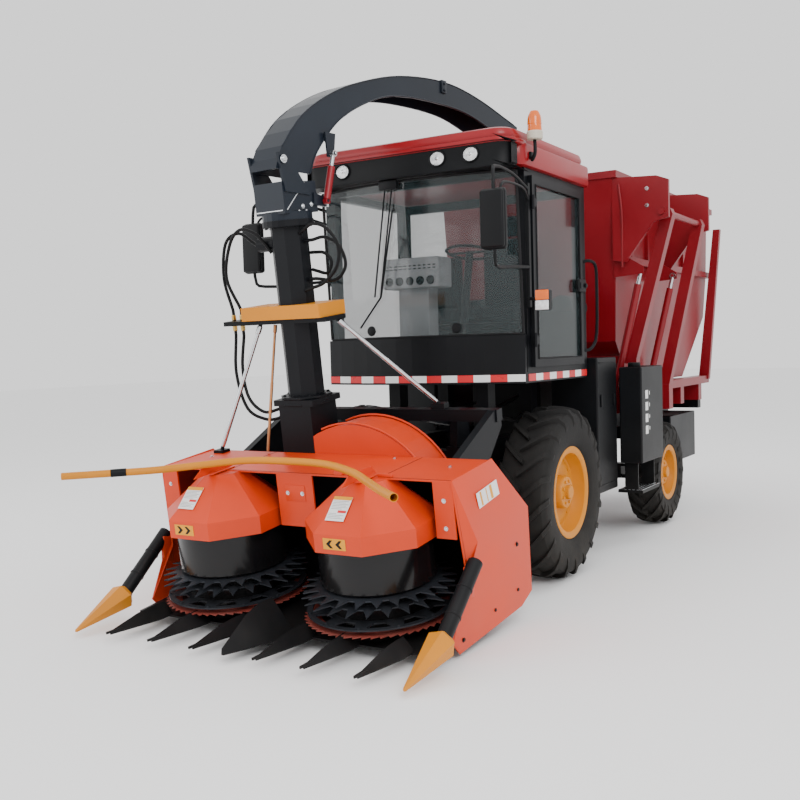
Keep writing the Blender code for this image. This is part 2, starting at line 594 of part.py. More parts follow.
right_mirror = fuse(
    pipe(smooth_route([(-0.845, CAB_FRONT + 0.02, 2.80), (-1.00, -0.60, 2.86), (-1.18, -0.80, 2.85),
                       (MIRROR_X, -0.85, 2.76), (MIRROR_X, -0.85, 2.30), (-1.16, -0.80, 2.22),
                       (-0.96, -0.58, 2.24), (-0.845, CAB_FRONT + 0.02, 2.26)], 3), 0.012, 2),
    box((-HALF_WIDTH, -0.88, 2.32), (-HALF_WIDTH + 0.17, -0.82, 2.70), 0.02),
    box((-0.857, CAB_FRONT + 0.002, 2.22), (-CAB_X - GAP, CAB_FRONT + 0.034, 2.84)),
)
node("right_mirror", right_mirror, BLACK)

beacon = fuse(
    pipe(smooth_route([(0.885, -0.36, 3.02), (0.90, -0.40, 2.99), (0.93, -0.42, 3.03), (0.93, -0.42, 3.13)],
                      3),
         0.012, 2),
    turned([(0, 0), (0.05, 0), (0.055, 0.03), (0.05, 0.05), (0.045, 0.15), (0.03, 0.19), (0, 0.20)],
           Matrix.Translation((0.93, -0.42, 3.12)), 20),
    box((0.87 + GAP, -0.39, 3.00), (0.89, -0.33, 3.05)),
)
node("beacon", beacon, AMBER)

# ================================================================================ header
body("header_body", (0, LIFT_Y, LIFT_Z))
PIVOT_A, PIVOT_B = ((LIFT_Y - HEAD_Y) * math.cos(TILT) + (LIFT_Z - HEAD_Z) * math.sin(TILT),
                    -(LIFT_Y - HEAD_Y) * math.sin(TILT) + (LIFT_Z - HEAD_Z) * math.cos(TILT))


def finger(x, width, reach):
    points = [(x - width / 2, -0.30), (x + width / 2, -0.30), (x + width * 0.32, -0.48),
              (x + 0.004, -reach), (x - 0.004, -reach), (x - width * 0.32, -0.48)]
    shape = prism(points, FLOOR_B, FLOOR_B + 0.014, "Z")
    for v in shape.data.vertices:
        v.co.z += 0.12 * max(0.0, -v.co.y - 0.33)
    return shape


frame_bits = [
    box((-HEADER_X, -0.36, FLOOR_B), (HEADER_X, 0.49, FLOOR_B + PLATE)),
    box((-HEADER_X, 0.475, FLOOR_B), (HEADER_X, 0.49, DECK_B - DECK_T - GAP)),
    box((-HEADER_X, 0.485, 0.10), (HEADER_X, 0.505, 0.18)),
    box((-0.86, 1.09, 0.94), (0.86, 1.17, 1.02)),
]
frame_bits += [finger(x, 0.16 if x == 0 else 0.10, 0.80 if x == 0 else 0.82)
               for x in (0, 0.23, -0.23, 0.55, -0.55, 0.89, -0.89)]
for sign in (1, -1):
    frame_bits.append(prism([(0.48, 0.14), (0.48, 0.80), (1.08, 1.02), (1.17, 1.02), (1.17, 0.90),
                             (0.70, 0.50)],
                            *sorted((sign * 0.80, sign * 0.85))))
    arm = prism([(1.10, 0.94), (1.10, 1.02), (PIVOT_A, PIVOT_B + 0.06), (PIVOT_A + 0.05, PIVOT_B),
                 (PIVOT_A, PIVOT_B - 0.06)], *sorted((sign * 0.265, sign * 0.325)))
    frame_bits.append(cut(arm, rod((sign * 0.2, PIVOT_A, PIVOT_B), (sign * 0.4, PIVOT_A, PIVOT_B),
                                   PIVOT_R + PIN_GAP, 20)))
node("header_frame", header(fuse(*frame_bits)), BLACK, "header_body")

cover_profile = [(COVER_R, 0.49), (COVER_R, 0.60), (0.13, DECK_B - DECK_T / 2), (0, DECK_B - DECK_T / 2),
                 (0, DECK_B - 0.03), (0.12, DECK_B - 0.03), (COVER_R - 0.012, 0.592),
                 (COVER_R - 0.012, 0.49)]
deck_bits = [box((-HEADER_X, 0.0, DECK_B - DECK_T), (HEADER_X, DECK_BACK, DECK_B)),
             box((-0.135, 0.0, 0.50), (0.135, 0.012, DECK_B - 0.002))]
for sign in (1, -1):
    deck_bits.append(box((min(sign * 0.965, sign * HEADER_X), 0.0, 0.50),
                         (max(sign * 0.965, sign * HEADER_X), 0.012, DECK_B - 0.002)))
    deck_bits.append(turned(cover_profile + cover_profile[:1],
                            Matrix.Translation((sign * ROTOR_X, 0, 0)) @ Matrix.Rotation(math.radians(22.5),
                                                                                         4, "Z"),
                            8))
node("header_deck", header(fuse(*deck_bits)), ORANGE, "header_body")

side_outline = [(-2.03, 0.975), (-1.53, 1.045), (-1.09, 0.70), (-1.08, 0.17), (-1.23, 0.105),
                (-2.05, 0.03), (-2.13, 0.11), (-1.93, 0.43)]
for side, sign in (("left", 1), ("right", -1)):
    xs = sorted((sign * (HEADER_X + GAP), sign * (HEADER_X + SIDE_T)))
    node(f"{side}_side_panel", prism(side_outline, *xs), ORANGE, "header_body")
    x = sign * 1.175
    divider = fuse(
        rod((x, -1.93, 0.52), (x, -2.35, 0.16), 0.044, 18),
        rod((x, -2.32, 0.175), (x, -2.74, 0.035), 0.085, 6, 0.004, math.radians(15)),
        box((min(sign * (HEADER_X + SIDE_T + GAP), x), -2.00, 0.30),
            (max(sign * (HEADER_X + SIDE_T + GAP), x), -1.90, 0.50)),
    )
    node(f"{side}_divider", divider, YELLOW, "header_body")

bar = fuse(
    pipe(smooth_route([(-1.18, BAR_END_Y, 1.00), (-0.98, -2.60, 1.005), (-0.78, -2.40, 1.01),
                       (-0.56, -2.22, 1.03), (-0.30, -2.12, 1.055), (0, -2.10, 1.06), (0.30, -2.12, 1.055),
                       (0.56, -2.22, 1.03), (0.78, -2.40, 1.01), (0.98, -2.60, 1.005),
                       (1.18, BAR_END_Y, 1.00)], 3), 0.022, 2),
    *[header(box((x - 0.02, -0.20, DECK_B + GAP), (x + 0.02, 0.06, DECK_B + 0.068))) for x in (-0.55,
                                                                                               0.55)],
)
node("push_bar", bar, YELLOW, "header_body")

arc = [(0.10 + 0.60 * math.cos(math.radians(k)), 0.43 + 0.60 * math.sin(math.radians(k)))
       for k in range(20, 117, 8)]
blower = prism([(arc[0][0], 0.16)] + arc + [(-0.1995, arc[-1][1] - 0.02), (-0.1995, 0.16)], 0.505 + GAP,
               0.80, "Y")
blower = cut(blower, box((-0.6, 0.2, 0.0), (-0.1995, 1.2, 1.4)))
node("blower_housing", header(blower), ORANGE, "header_body")

w = TOWER_W / 2
base_x = (TOWER_X - 0.13, TOWER_X + 0.13)
octagon = Matrix.Translation((TOWER_X, TOWER_A, 0)) @ Matrix.Rotation(math.radians(22.5), 4, "Z")
tower_r = w / math.cos(math.radians(22.5))
BAND_LO, BAND_HI = 1.725, 1.815
tower_bits = [
    box((base_x[0], 0.505 + GAP, 0.16), (base_x[1], 0.80, TOWER_FOOT - 0.03)),
    turned([(0, TOWER_FOOT - 0.04), (tower_r, TOWER_FOOT - 0.04), (tower_r, TOWER_TOP), (0, TOWER_TOP)],
           octagon, 8),
    box((TOWER_X - 0.16, TOWER_A - 0.16, TOWER_FOOT - 0.04), (TOWER_X + 0.16, TOWER_A + 0.16, TOWER_FOOT)),
    box((TOWER_X - 0.55, TOWER_A - 0.12, BAND_LO - 0.03), (TOWER_X + 0.30, TOWER_A + 0.12, BAND_LO)),
    *[rod((TOWER_X - x, TOWER_A - 0.04, BAND_LO - 0.07), (TOWER_X - x, TOWER_A - 0.04, BAND_LO + 0.04),
          0.013, 10)
      for x in (0.52, 0.45)],
    *[rod((TOWER_X - 0.11 - 0.06, TOWER_A + y, 1.05), (TOWER_X - 0.11, TOWER_A + y, 1.05), 0.013, 10)
      for y in (-0.04, 0.03)],
    *[rod((TOWER_X + 0.10, TOWER_A, b), (TOWER_X + 0.15, TOWER_A, b), 0.013, 10) for b in (2.22, 1.97)],
    turned([(0, TOWER_TOP - 0.04), (0.17, TOWER_TOP - 0.04), (0.17, TOWER_TOP), (0, TOWER_TOP)],
           Matrix.Translation((TOWER_X, TOWER_A, 0)), 24),
    rod((TOWER_X - 0.25, TOWER_A, TOWER_TOP - 0.14), (TOWER_X - 0.08, TOWER_A, TOWER_TOP - 0.14), 0.05, 16),
    # braces from the plate under the band to the deck's edge and to the carrier
    rod((TOWER_X - 0.30, TOWER_A - 0.02, BAND_LO - 0.02), (-0.95, 0.44, DECK_B + 0.014), 0.013, 12),
    box((-0.99, 0.40, DECK_B + GAP), (-0.91, 0.48, DECK_B + 0.02)),
    rod((TOWER_X + 0.26, TOWER_A + 0.06, BAND_LO - 0.02), (0.42, 1.13, 1.05), 0.013, 12),
    box((0.37, 1.095, 1.02 + GAP), (0.47, 1.165, 1.06)),
]
tower = header(fuse(*tower_bits))
node("tower", tower, BLACK, "header_body")
band = cut(box((TOWER_X - 0.36, TOWER_A - 0.15, BAND_LO + GAP), (TOWER_X + 0.28, TOWER_A + 0.15, BAND_HI)),
           turned([(0, 1.5), (tower_r + GAP, 1.5), (tower_r + GAP, 2.0), (0, 2.0)], octagon, 8))
node("tower_band", header(band), YELLOW, "header_body")

for side, sign in (("left", 1), ("right", -1)):
    x = sign * ROTOR_X
    body(f"{side}_rotor_body", header_point(x, 0, 0.2), "header_body")
    here = Matrix.Translation((x, 0, 0))
    bits = [
        rod((x, 0, 0.0), (x, 0, 0.235), 0.30, 24),
        rod((x, 0, 0.225), (x, 0, 0.55), DRUM_R, 28, twist=0.03),
        rod((x, 0, 0.03), (x, 0, 0.04), 0.43, 28, twist=0.05),
        moved(prism(star(30, SAW_R - 0.035, SAW_R), -0.0045, 0.0045, "Z"), here),
        moved(prism(star(20, 0.37, TOOTH_R), 0.095, 0.103, "Z"), here),
        moved(prism(star(20, 0.35, TOOTH_R - 0.02), 0.165, 0.173, "Z"), here),
        rod((x, 0, FLOOR_B + PLATE + GAP), (x, 0, 0.01), 0.06, 14, twist=0.07),
        rod((x, 0, 0.54), (x, 0, DECK_B - 0.03 - GAP), 0.04, 14, twist=0.09),
    ]
    node(f"{side}_rotor", header(fuse(*bits)), BLACK, f"{side}_rotor_body")

# ================================================================================ spout
head_foot = header_point(TOWER_X, TOWER_A, TOWER_TOP)
body("swivel_body", head_foot, "header_body")
here = Matrix.Translation((TOWER_X, TOWER_A, 0)) @ Matrix.Rotation(-YAW, 4, "Z")
head = header(fuse(
    turned([(0, TOWER_TOP + GAP), (0.165, TOWER_TOP + GAP), (0.165, TOWER_TOP + 0.05),
            (0, TOWER_TOP + 0.05)],
           Matrix.Translation((TOWER_X, TOWER_A, 0)), 24),
    moved(box((-0.13, -0.15, TOWER_TOP + 0.04), (0.13, 0.16, TOWER_TOP + 0.24)), here),
))


def spout_prism(points, n_lo, n_hi):
    """An outline in the spout's own upright plane, from n_lo to n_hi across it."""
    shape = prism(points, n_lo, n_hi, "X")
    turn = Matrix.Rotation(-YAW, 4, "Z")
    foot = spout_point(0, 0)
    return moved(shape, Matrix.Translation((foot[0], foot[1], 0)) @ turn)


t, z = SPOUT_PIN
ears = []
for n in (-SPOUT_HALF - 0.022, SPOUT_HALF + 0.002):
    ear = spout_prism([(t - 0.04, z + 0.04), (t + 0.05, z + 0.04), (0.10, z - 0.20), (t + 0.02, z - 0.20)],
                      n, n + 0.020)
    ears.append(cut(ear, rod(spout_point(t, z, n - 0.05), spout_point(t, z, n + 0.07), 0.0207, 16)))
t, z = LIFT_FOOT
foot_lug = [spout_prism([(t - 0.09, z - 0.03), (t + 0.03, z - 0.03), (t + 0.03, z + 0.03),
                         (t - 0.09, z + 0.05)], 0.11, LIFT_SIDE - 0.024),
            rod(spout_point(t, z, 0.12), spout_point(t, z, LIFT_SIDE + 0.02), 0.010, 12)]
node("swivel_head", fuse(head, *ears, *foot_lug), SLATE, "swivel_body")

body("spout_body", spout_point(*SPOUT_PIN), "swivel_body")


def spout_line(points):
    return [(p[0], p[1]) for p in smooth_route([(t, z) for t, z in points], 2)]


outline = spout_line(SPOUT_OUTER) + spout_line(SPOUT_INNER)
roof_line = [(SPOUT_OUTER[0][0] + SPOUT_T, 2.60)] + [
    (t + SPOUT_T * 0.8, z - SPOUT_T * 0.6) if t < 0.3 else (t, z - SPOUT_T) for t,
    z in spout_line(SPOUT_OUTER)[1:]]
roof_line[-1] = (3.0, 3.52)
hollow = roof_line + [(3.0, 3.0), (0.5, 2.6)]
spout = cut(spout_prism(outline, -SPOUT_HALF, SPOUT_HALF),
            spout_prism(hollow, -SPOUT_HALF + SPOUT_T, SPOUT_HALF - SPOUT_T))
t, z = SPOUT_PIN
te, ze = LIFT_EYE
spout = fuse(
    spout,
    rod(spout_point(t, z, -SPOUT_HALF - 0.03), spout_point(t, z, SPOUT_HALF + 0.03), 0.020, 16),
    rod(spout_point(te, ze + 0.10, SPOUT_HALF - 0.006), spout_point(te, ze + 0.10, LIFT_SIDE - 0.018), 0.03,
        12),
    spout_prism([(te - 0.03, ze - 0.02), (te + 0.03, ze - 0.02), (te + 0.05, ze + 0.14),
                 (te - 0.05, ze + 0.14)],
                LIFT_SIDE - 0.03, LIFT_SIDE - 0.018),
    rod(spout_point(te, ze, LIFT_SIDE - 0.025), spout_point(te, ze, LIFT_SIDE + 0.02), 0.010, 12),
)
node("spout", spout, SLATE, "spout_body", smooth=True)


def cylinder_shapes(foot, eye, across, r, share, holes, width):
    """The barrel and the rod of a hydraulic cylinder between two pins, with the bore of each one's eye."""
    foot, eye = Vector(foot), Vector(eye)
    way, across = (eye - foot).normalized(), Vector(across).normalized()
    full = (eye - foot).length
    top = foot + way * full * share
    barrel = fuse(rod(foot + way * r * 0.5, top, r, 18),
                  rod(foot - across * width / 2, foot + across * width / 2, r * 0.9, 18))
    barrel = cut(barrel, rod(foot - across * width, foot + across * width, holes[0], 14),
                 rod(foot + way * 0.06, top + way * 0.1, r * 0.62 + 0.0004, 14))
    ram = fuse(rod(foot + way * 0.065, eye - way * r * 0.5, r * 0.62, 14),
               rod(eye - across * width / 2, eye + across * width / 2, r * 0.9, 18))
    ram = cut(ram, rod(eye - across * width, eye + across * width, holes[1], 14))
    return barrel, ram


side_way = (math.cos(YAW), -math.sin(YAW), 0)
foot_point, eye_point = spout_point(*LIFT_FOOT, LIFT_SIDE + 0.003), spout_point(*LIFT_EYE,
                                                                                LIFT_SIDE + 0.003)
body("lift_barrel_body", foot_point, "swivel_body")
body("lift_rod_body", foot_point, "lift_barrel_body")
barrel, ram = cylinder_shapes(foot_point, eye_point, side_way, 0.024, 0.72, LIFT_BORES, 0.030)
node("lift_cylinder", barrel, CRIMSON, "lift_barrel_body")
node("lift_rod", ram, STEEL, "lift_rod_body")

# ================================================================================ bin stand
foot_z = {POSTS_Y[0]: 1.535, POSTS_Y[1]: 1.25}
stand_bits = []
for sign in (1, -1):
    stand_bits.append(box((sign * RAIL_X - 0.04, 1.58, SILL_LO), (sign * RAIL_X + 0.04, 4.20, SILL_HI)))
    stand_bits.append(box((sign * RAIL_X - 0.035, 1.615, 1.05), (sign * RAIL_X + 0.035, 1.705, 1.59)))
    xs = sorted((sign * 0.74, sign * 0.86))
    stand_bits.append(box((xs[0], 1.94, 1.25), (xs[1], 4.47, 1.33)))
stand_bits.append(box((-0.86, 1.61, 1.535), (0.96, 1.71, 1.60)))
for y in (1.96, 2.56, 3.40, 4.10):
    stand_bits.append(box((-0.84, y, 1.075), (0.965 if y == 2.56 else 0.84, y + 0.12, 1.31)))


for y in POSTS_Y:
    z0 = foot_z[y]
    stand_bits.append(prism([(POST_FOOT_X - 0.045, z0 + 0.02), (POST_FOOT_X + 0.055, z0 + 0.02),
                             (TIP_X + 0.05, TIP_Z - 0.01),
                             (TIP_X + 0.03, TIP_Z + 0.04), (TIP_X - 0.03, TIP_Z + 0.04),
                             (TIP_X - 0.05, TIP_Z - 0.01)],
                            y - POST_W / 2, y + POST_W / 2, "Y"))
stand_bits.append(rod((TIP_X, BRACKETS_Y[0][0] - 0.02, TIP_Z), (TIP_X, BRACKETS_Y[1][1] + 0.02, TIP_Z),
                      SHAFT_R, 20))
# rear upright with its gusset
stand_bits.append(prism([(0.765, 1.29), (0.875, 1.29), (1.01, 2.93), (0.94, 2.93)], 4.39, 4.46, "Y"))
# feet for the tipping cylinders
for y in CYLINDERS_Y:
    x, z = CYL_FOOT
    if y < 2:
        stand_bits.append(box((x - 0.03, y - 0.050, 1.33), (x + 0.03, y - 0.036, 1.42)))
        stand_bits.append(box((0.345, y - 0.049, 1.31), (x + 0.02, y - 0.037, 1.39)))
        stand_bits.append(box((0.35, y - 0.048, 1.32), (0.41, 1.63, 1.38)))
    else:
        stand_bits.append(box((x - 0.03, y + 0.036, 1.20), (x + 0.03, y + 0.09, 1.42)))
    stand_bits.append(rod((x, y - 0.04, z), (x, y + 0.04, z), 0.012, 14))
node("bin_stand", fuse(*stand_bits), CRIMSON)

# ================================================================================ bin
body("bin_body", (TIP_X, (BRACKETS_Y[0][0] + BRACKETS_Y[1][1]) / 2, TIP_Z))


def bin_solid(shrink, top):
    """The bin's outside, or its inside when shrunk: upright above the middle rail, tapered below."""
    side = [(1.44 + shrink, top), (1.60 + shrink, 1.73), (2.00 + shrink * 0.6, BIN_LO + shrink),
            (3.76 - shrink * 0.6, BIN_LO + shrink), (4.50 - shrink, 1.98), (4.60 - shrink, top)]
    body_shape = prism(side, -BIN_X + shrink, BIN_X - shrink)
    keep = prism([(-BIN_X + shrink, top + 1), (-BIN_X + shrink, BIN_MID), (-0.73 + shrink, BIN_LO - 0.5),
                  (0.73 - shrink, BIN_LO - 0.5), (BIN_X - shrink, BIN_MID), (BIN_X - shrink, top + 1)], 0,
                  6, "Y")
    return combined("INTERSECT", body_shape, [keep])


shell = cut(bin_solid(0.0, BIN_HI), bin_solid(BIN_WALL, BIN_HI + 0.2))
rails = []
for z0, z1 in ((BIN_HI - 0.06, BIN_HI), (BIN_MID - 0.03, BIN_MID + 0.03)):
    front = 1.44 + 0.16 * (BIN_HI - (z0 + z1) / 2) / (BIN_HI - 1.73)
    back = 4.60 - 0.10 * (BIN_HI - (z0 + z1) / 2) / (BIN_HI - 1.98)
    for sign in (1, -1):
        xs = sorted((sign * (BIN_X - 0.004), sign * (BIN_X + RAIL_OUT)))
        rails.append(box((xs[0], front, z0), (xs[1], back + 0.05, z1)))
    rails.append(box((-BIN_X - RAIL_OUT, back - 0.006, z0),
                     (BIN_X + RAIL_OUT, back + 0.05 if z1 < BIN_HI else TAIL_Y, z1)))
    if z1 == BIN_HI:
        rails.append(box((-BIN_X - RAIL_OUT, front - 0.015, z0), (BIN_X + RAIL_OUT, front + 0.012, z1)))
RIBS_Y = (1.90, 2.36, 3.05, 3.55, 4.02)
for y in RIBS_Y:
    for sign in (1, -1):
        xs = sorted((sign * (BIN_X - 0.004), sign * (BIN_X + 0.03)))
        rails.append(box((xs[0], y - 0.025, BIN_MID), (xs[1], y + 0.025, BIN_HI - 0.03)))
for y0, y1 in BRACKETS_Y:
    plate = prism([(BIN_X - 0.004, 2.42), (0.93, 2.40), (1.17, 2.72), (HALF_WIDTH, 2.75),
                   (HALF_WIDTH, 3.06),
                   (1.20, 3.10), (BIN_X - 0.004, 3.12)], y0, y1, "Y")
    rails.append(cut(plate, rod((TIP_X, y0 - 0.1, TIP_Z), (TIP_X, y1 + 0.1, TIP_Z), SHAFT_R + PIN_GAP, 20)))
for y in CYLINDERS_Y:
    x, z = CYL_EYE
    lug_y = y - 0.02 if y < 2 else y + 0.02
    lug = prism([(BIN_X - 0.02, 2.28), (x + 0.03, z - 0.03), (x + 0.03, z + 0.03), (0.90, 2.46),
                 (BIN_X - 0.02, 2.46)],
                *sorted((lug_y, lug_y + (-0.012 if y < 2 else 0.012))), "Y")
    rails.append(lug)
    rails.append(rod((x, lug_y - (0.006 if y < 2 else -0.006), z), (x, y + (0.02 if y < 2 else -0.02), z),
                     0.012, 14))
bin_shape = fuse(shell, *rails)
node("bin", bin_shape, CRIMSON, "bin_body")

for i, y in enumerate(CYLINDERS_Y):
    name = ("front", "rear")[i]
    foot = (CYL_FOOT[0], y, CYL_FOOT[1])
    eye = (CYL_EYE[0], y, CYL_EYE[1])
    body(f"{name}_tip_barrel_body", foot)
    body(f"{name}_tip_rod_body", foot, f"{name}_tip_barrel_body")
    barrel, ram = cylinder_shapes(foot, eye, (0, 1, 0), 0.030, 0.88, TIP_BORES, 0.028)
    node(f"{name}_tip_cylinder", barrel, CRIMSON, f"{name}_tip_barrel_body")
    node(f"{name}_tip_rod", ram, STEEL, f"{name}_tip_rod_body")

# ================================================================================ hoses
HOSE_R = 0.011
HOSE_LEAD = 0.03  # straight run at each fitting
SLEW_B = TOWER_TOP - 0.14  # height of the slewing motor's port
plate_out = (-0.52, -0.04)
hoses = {
    "slew_hose": [(*plate_out, BAND_LO + 0.04 + GAP), (*plate_out, BAND_LO + 0.04 + HOSE_LEAD),
                  (-0.55, -0.06, 2.02),
                  (-0.50, -0.06, 2.25), (-0.40, -0.03, 2.31), (-0.31, 0.0, SLEW_B + 0.02),
                  (-0.25 - HOSE_LEAD, 0.0, SLEW_B), (-0.25 - GAP, 0.0, SLEW_B)],
    "header_hose": [(*plate_out, BAND_LO - 0.07 - GAP), (*plate_out, BAND_LO - 0.07 - HOSE_LEAD),
                    (-0.54, -0.06, 1.36),
                    (-0.46, -0.08, 1.12), (-0.32, -0.06, 1.04), (-0.17 - HOSE_LEAD, -0.04, 1.05),
                    (-0.17 - GAP, -0.04, 1.05)],
    "valve_hose": [(0.15 + GAP, 0.0, 2.22), (0.15 + HOSE_LEAD, 0.0, 2.22), (0.28, 0.0, 2.23),
                   (0.37, 0.02, 2.17),
                   (0.40, 0.03, 2.04), (0.32, 0.02, 1.955), (0.15 + HOSE_LEAD, 0.0, 1.97),
                   (0.15 + GAP, 0.0, 1.97)],
}
for name, knots in hoses.items():
    knots = [header_point(TOWER_X + x, TOWER_A + a, b) for x, a, b in knots]
    route = knots[:1] + smooth_route(knots[1:-1], 3) + knots[-1:]
    node(name, pipe(route, HOSE_R, 2), RUBBER, "header_body", smooth=True)

for leftover in list(shop.objects):
    bpy.data.objects.remove(leftover, do_unlink=True)
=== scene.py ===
from math import atan2, cos, hypot, pi, radians, sin

import bpy
from mathutils import Matrix, Vector


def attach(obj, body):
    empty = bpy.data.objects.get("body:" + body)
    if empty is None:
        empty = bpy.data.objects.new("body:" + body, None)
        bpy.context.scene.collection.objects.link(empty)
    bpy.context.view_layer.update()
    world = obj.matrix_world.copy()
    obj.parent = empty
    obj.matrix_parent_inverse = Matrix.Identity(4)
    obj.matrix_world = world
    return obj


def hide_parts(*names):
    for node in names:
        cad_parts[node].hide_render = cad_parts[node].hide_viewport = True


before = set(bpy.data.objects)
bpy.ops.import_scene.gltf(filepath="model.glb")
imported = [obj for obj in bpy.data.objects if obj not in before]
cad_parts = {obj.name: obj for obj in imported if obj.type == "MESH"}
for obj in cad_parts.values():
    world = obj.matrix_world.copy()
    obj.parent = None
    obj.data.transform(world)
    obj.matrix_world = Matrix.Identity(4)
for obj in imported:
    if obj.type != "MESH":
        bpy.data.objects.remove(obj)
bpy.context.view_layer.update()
bpy.ops.object.select_all(action="DESELECT")

# Metres, +Z up, the machine faces -Y and its left side is +X.
FRONT = -0.93275  # Y of the front axle; Y values below are counted from it through at()
TILT = YAW = radians(7.2)
QUARTER = pi / 2
SIDES = (("left", 1), ("right", -1))
link = bpy.context.scene.collection.objects.link


def at(x, y, z):
    """A point placed from the front axle."""
    return Vector((x, y + FRONT, z))


def move(offset):
    return Matrix.Translation(offset)


def rotate(angle, axis):
    return Matrix.Rotation(angle, 4, axis)


HEADER = move(at(0, -1.925, 0.15)) @ rotate(TILT, "X")
TOWER = Vector((-0.33, 0.655))
foot = HEADER @ Vector((TOWER.x, TOWER.y, 2.56))
SPOUT = move((foot.x, foot.y, 0)) @ rotate(-YAW, "Z")  # (across, along, height)

# ================================================================ camera, light and floor
turn, dip, roll = radians(31.4), radians(2.89), radians(1.59)
look = Vector((-sin(turn) * cos(dip), cos(turn) * cos(dip), -sin(dip)))
level = Vector((cos(turn), sin(turn), 0))
upright = level.cross(look)
right = cos(roll) * level - sin(roll) * upright
above = sin(roll) * level + cos(roll) * upright
lens = bpy.data.cameras.new("camera")
lens.lens, lens.sensor_width = 44.65, 36
camera = bpy.data.objects.new("camera", lens)
camera.matrix_world = move(at(3.683, -6.797, 1.707)) @ Matrix((right, above, -look)).transposed().to_4x4()
link(camera)
bpy.context.scene.camera = camera

bpy.ops.mesh.primitive_plane_add(size=90, location=(0, 10, -0.002))
floor = bpy.context.object
floor.name = "floor"
pale = bpy.data.materials.new("pale_floor")
pale.use_nodes = True
pale.node_tree.nodes["Principled BSDF"].inputs["Base Color"].default_value = (0.93, 0.93, 0.93, 1)
pale.node_tree.nodes["Principled BSDF"].inputs["Roughness"].default_value = 0.9
floor.data.materials.append(pale)

world = bpy.data.worlds.new("studio")
bpy.context.scene.world = world
world.use_nodes = True
world.node_tree.nodes["Background"].inputs["Color"].default_value = (1.0, 1.0, 1.0, 1)
world.node_tree.nodes["Background"].inputs["Strength"].default_value = 1.3


def softbox(name, place, aim, size, power):
    """A square area lamp turned to face its aim."""
    lamp = bpy.data.lights.new(name, "AREA")
    lamp.shape, lamp.size, lamp.energy = "SQUARE", size, power
    obj = bpy.data.objects.new(name, lamp)
    obj.location = place
    obj.rotation_euler = (Vector(aim) - Vector(place)).to_track_quat("-Z", "Y").to_euler()
    link(obj)


softbox("key", (7.5, -8.5, 8.0), (0, -0.5, 1.4), 5.0, 620)
softbox("fill", (-7.0, -8.0, 4.5), (0, -1.5, 1.2), 6.0, 180)
softbox("overhead", (0.5, 1.0, 9.0), (0, 0, 1), 7.0, 260)


# ================================================================ finishes
def finish(name, tone, rough, metal=0.0, mottle=0.10, scale=2.5, grain=0.02, grain_scale=120.0, clear=0.0,
           dust=0.0, dust_to=0.9, spread=0.10):
    """A coloured surface whose tone and roughness wander a little, with dust that gathers low down."""
    material = bpy.data.materials.new(name)
    material.use_nodes = True
    nodes, links = material.node_tree.nodes, material.node_tree.links
    shader = nodes["Principled BSDF"]
    shader.inputs["Metallic"].default_value = metal
    shader.inputs["Coat Weight"].default_value = clear
    shader.inputs["Coat Roughness"].default_value = 0.12
    shader.inputs["Specular IOR Level"].default_value = 0.35 if max(tone) > 0.05 else 0.16
    place = nodes.new("ShaderNodeTexCoord")

    def noise(size, detail):
        made = nodes.new("ShaderNodeTexNoise")
        made.inputs["Scale"].default_value = size
        made.inputs["Detail"].default_value = detail
        links.new(place.outputs["Object"], made.inputs["Vector"])
        return made

    cloud = noise(scale, 5)
    tones = nodes.new("ShaderNodeValToRGB")
    tones.color_ramp.elements[0].position, tones.color_ramp.elements[1].position = 0.32, 0.68
    tones.color_ramp.elements[0].color = (*[c * (1 - mottle) for c in tone], 1)
    tones.color_ramp.elements[1].color = (*[min(1, c * (1 + mottle)) for c in tone], 1)
    links.new(cloud.outputs["Fac"], tones.inputs["Fac"])
    colour = tones.outputs["Color"]
    if dust:
        parted = nodes.new("ShaderNodeSeparateXYZ")
        links.new(place.outputs["Object"], parted.inputs["Vector"])
        fall = nodes.new("ShaderNodeMapRange")
        fall.inputs["From Min"].default_value, fall.inputs["From Max"].default_value = dust_to, 0.0
        fall.inputs["To Max"].default_value = dust
        links.new(parted.outputs["Z"], fall.inputs["Value"])
        patch = noise(7, 8)
        share = nodes.new("ShaderNodeMath")
        share.operation = "MULTIPLY"
        links.new(fall.outputs["Result"], share.inputs[0])
        links.new(patch.outputs["Fac"], share.inputs[1])
        mix = nodes.new("ShaderNodeMix")
        mix.data_type = "RGBA"
        mix.inputs["B"].default_value = (0.30, 0.26, 0.21, 1)
        links.new(share.outputs["Value"], mix.inputs["Factor"])
        links.new(colour, mix.inputs["A"])
        colour = mix.outputs["Result"]
    links.new(colour, shader.inputs["Base Color"])
    fine = noise(grain_scale, 3)
    sheen = nodes.new("ShaderNodeMapRange")
    sheen.inputs["To Min"].default_value = max(0.02, rough - spread)
    sheen.inputs["To Max"].default_value = min(1.0, rough + spread)
    links.new(cloud.outputs["Fac"], sheen.inputs["Value"])
    links.new(sheen.outputs["Result"], shader.inputs["Roughness"])
    bump = nodes.new("ShaderNodeBump")
    bump.inputs["Strength"].default_value = 1.3
    bump.inputs["Distance"].default_value = grain * 0.01
    links.new(fine.outputs["Fac"], bump.inputs["Height"])
    links.new(bump.outputs["Normal"], shader.inputs["Normal"])
    return material


